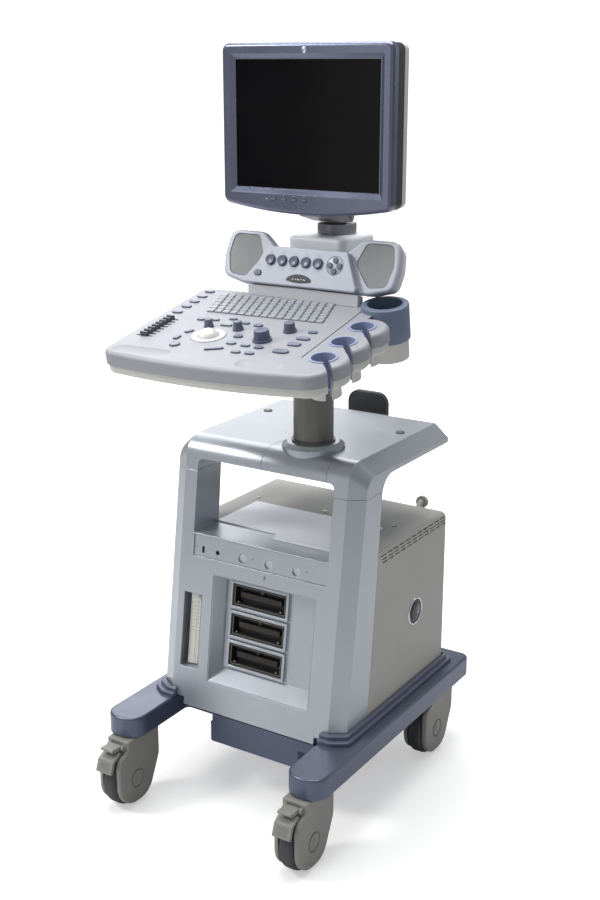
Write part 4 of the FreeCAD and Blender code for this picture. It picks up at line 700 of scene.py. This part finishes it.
for corner in ("front_left", "front_right", "rear_left", "rear_right"):
    low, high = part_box("castor_housing_" + corner)
    axle = Vector(joints["spin_" + corner]["pos_m"])
    caps = bmesh.new()
    for side, x in ((-1, low.x), (1, high.x)):
        place = at(Vector((x, axle.y, axle.z)), axes(BACK, RIGHT * side))
        lathe(caps, mm((16.2, -0.9), (16.2, 0.4), (15.2, 0.9), (13.6, 0.6),
                       (12.8, 0.2), (6.4, 0.3), (5.6, 1.0), (0, 1.2)), place, 56)
    add_piece("castor_caps_" + corner, caps, "castor_plastic", "castor_" + corner)
    hub = bmesh.new()
    wheel_low, wheel_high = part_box("castor_wheel_" + corner)
    for side, x in ((-1, wheel_low.x), (1, wheel_high.x)):
        place = at(Vector((x, axle.y, axle.z)), axes(BACK, RIGHT * side))
        for i in range(5):
            turn = Matrix.Rotation(2 * math.pi * i / 5, 4, "Z")
            rib = round_rectangle(15 * MM, 5 * MM, 1.5 * MM, 30 * MM, 0)
            slab(hub, rib, -4.2 * MM, -2.4 * MM, place @ turn, 0.5 * MM)
    add_piece("hub_ribs_" + corner, hub, "pedal_plastic", "wheel_" + corner)

for corner in ("front_left", "front_right"):
    hinge = Vector(joints["brake_" + corner]["pos_m"])
    down = Vector((0, -9, -24)).normalized()
    out = Vector((0, -24, 9)).normalized()
    ribs = bmesh.new()
    for i in range(4):
        spot = hinge + Vector((0, -30 * MM, -14 * MM)) + down * (6 + 4.2 * i) * MM + out * 0.1 * MM
        rib = round_rectangle(22 * MM, 1.4 * MM, 0.6 * MM, steps=3)
        slab(ribs, rib, -0.3 * MM, 0.8 * MM, at(spot, axes(RIGHT, out)), 0.3 * MM)
    add_piece("pedal_ribs_" + corner, ribs, "pedal_plastic", "pedal_" + corner)

# ---------------------------------------------------------------- rear panel

rear_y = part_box("rear_panel")[1].y
screws = bmesh.new()
for x in (-160, 0, 160):
    for z in (214, 471):
        screw(screws, Vector((x * MM, rear_y, z * MM)), BACK)
add_piece("rear_screws", screws, "steel", "cart")
label = bmesh.new()
place = at(Vector((115 * MM, rear_y, 400 * MM)), axes(-RIGHT, BACK))
slab(label, round_rectangle(52 * MM, 34 * MM, 2 * MM), 0.0, 0.25 * MM, place, 0.1 * MM)
add_piece("rear_label", label, "card", "cart")
print_lines = bmesh.new()
printed = place @ Matrix.Translation((0, 0, 0.26 * MM))
for i in range(5):
    dash(print_lines, printed, (40 - 5 * (i % 3)) * MM, 1.0 * MM, -1 * MM, (11 - 5 * i) * MM)
add_piece("rear_label_print", print_lines, "ink", "cart", smooth=False)

# ---------------------------------------------------------------- studio

floor = bmesh.new()
bmesh.ops.create_circle(floor, cap_ends=True, cap_tris=True, segments=64, radius=60.0)
floor_mesh = bpy.data.meshes.new("studio_floor")
floor.to_mesh(floor_mesh)
floor.free()
studio = bpy.data.objects.new("studio_floor", floor_mesh)
bpy.context.scene.collection.objects.link(studio)
paper = Nodes("studio_paper")
paper_tone = paper.mix(paper.noise(1.2, 2.0), (0.72, 0.72, 0.72), (0.75, 0.75, 0.75))
paper.link(paper_tone, paper.shader.inputs["Base Color"])
paper.shader.inputs["Roughness"].default_value = 0.9
paper.shader.inputs["Emission Color"].default_value = (1.0, 1.0, 1.0, 1.0)
seen = paper.add("ShaderNodeLightPath").outputs["Is Camera Ray"]
away = paper.add("ShaderNodeVectorMath", operation="LENGTH")
paper.link(paper.object_coords, away.inputs[0])
glow = paper.ramp(away.outputs["Value"], (1.2, 3.5, 0.44, 1.0))
paper.link(paper.math("MULTIPLY", seen, glow), paper.shader.inputs["Emission Strength"])
floor_mesh.materials.append(paper.material)

world = bpy.data.worlds.new("studio_world")
bpy.context.scene.world = world
world.use_nodes = True
sky = world.node_tree
seen = sky.nodes.new("ShaderNodeLightPath").outputs["Is Camera Ray"]
strength = sky.nodes.new("ShaderNodeMapRange")
strength.inputs["To Min"].default_value = 0.26
strength.inputs["To Max"].default_value = 1.2
sky.links.new(seen, strength.inputs["Value"])
sky.links.new(strength.outputs["Result"], sky.nodes["Background"].inputs["Strength"])
sky.nodes["Background"].inputs["Color"].default_value = (0.95, 0.97, 1.0, 1.0)


def area_light(name, place, target, size, power, color=(1, 1, 1)):
    data = bpy.data.lights.new(name, "AREA")
    data.shape = "RECTANGLE"
    data.size, data.size_y = size
    data.energy = power
    data.color = color
    light = bpy.data.objects.new(name, data)
    light.location = place
    light.rotation_euler = (Vector(target) - Vector(place)).to_track_quat("-Z", "Y").to_euler()
    bpy.context.scene.collection.objects.link(light)


middle = Vector((0, 0, 0.7))
area_light("key", (-2.4, -2.0, 3.2), middle, (1.0, 1.0), 84, (1.0, 0.99, 0.97))
area_light("top", (-0.2, 0.2, 3.6), middle, (2.4, 2.4), 120)
area_light("fill", (2.6, -3.2, 1.4), middle, (2.0, 2.6), 6, (0.93, 0.96, 1.0))
area_light("rim", (2.2, 2.6, 2.2), middle, (1.2, 2.0), 8)
area_light("back", (-2.2, 2.2, 2.7), Vector((0, 0.1, 0.6)), (2.2, 2.2), 42)
area_light("panel", (-0.95, -2.6, 1.35), Vector((0, 0, 1.1)), (1.1, 1.9), 6)

camera_data = bpy.data.cameras.new("camera")
camera_data.lens = 51.13
camera_data.sensor_width = 36.0
camera = bpy.data.objects.new("camera", camera_data)
camera.location = (1.250, -1.9228, 1.360)
camera.rotation_euler = (math.radians(90 - 16.69), 0, math.radians(32.41))
bpy.context.scene.collection.objects.link(camera)
bpy.context.scene.camera = camera
bpy.context.scene.view_settings.view_transform = "Standard"
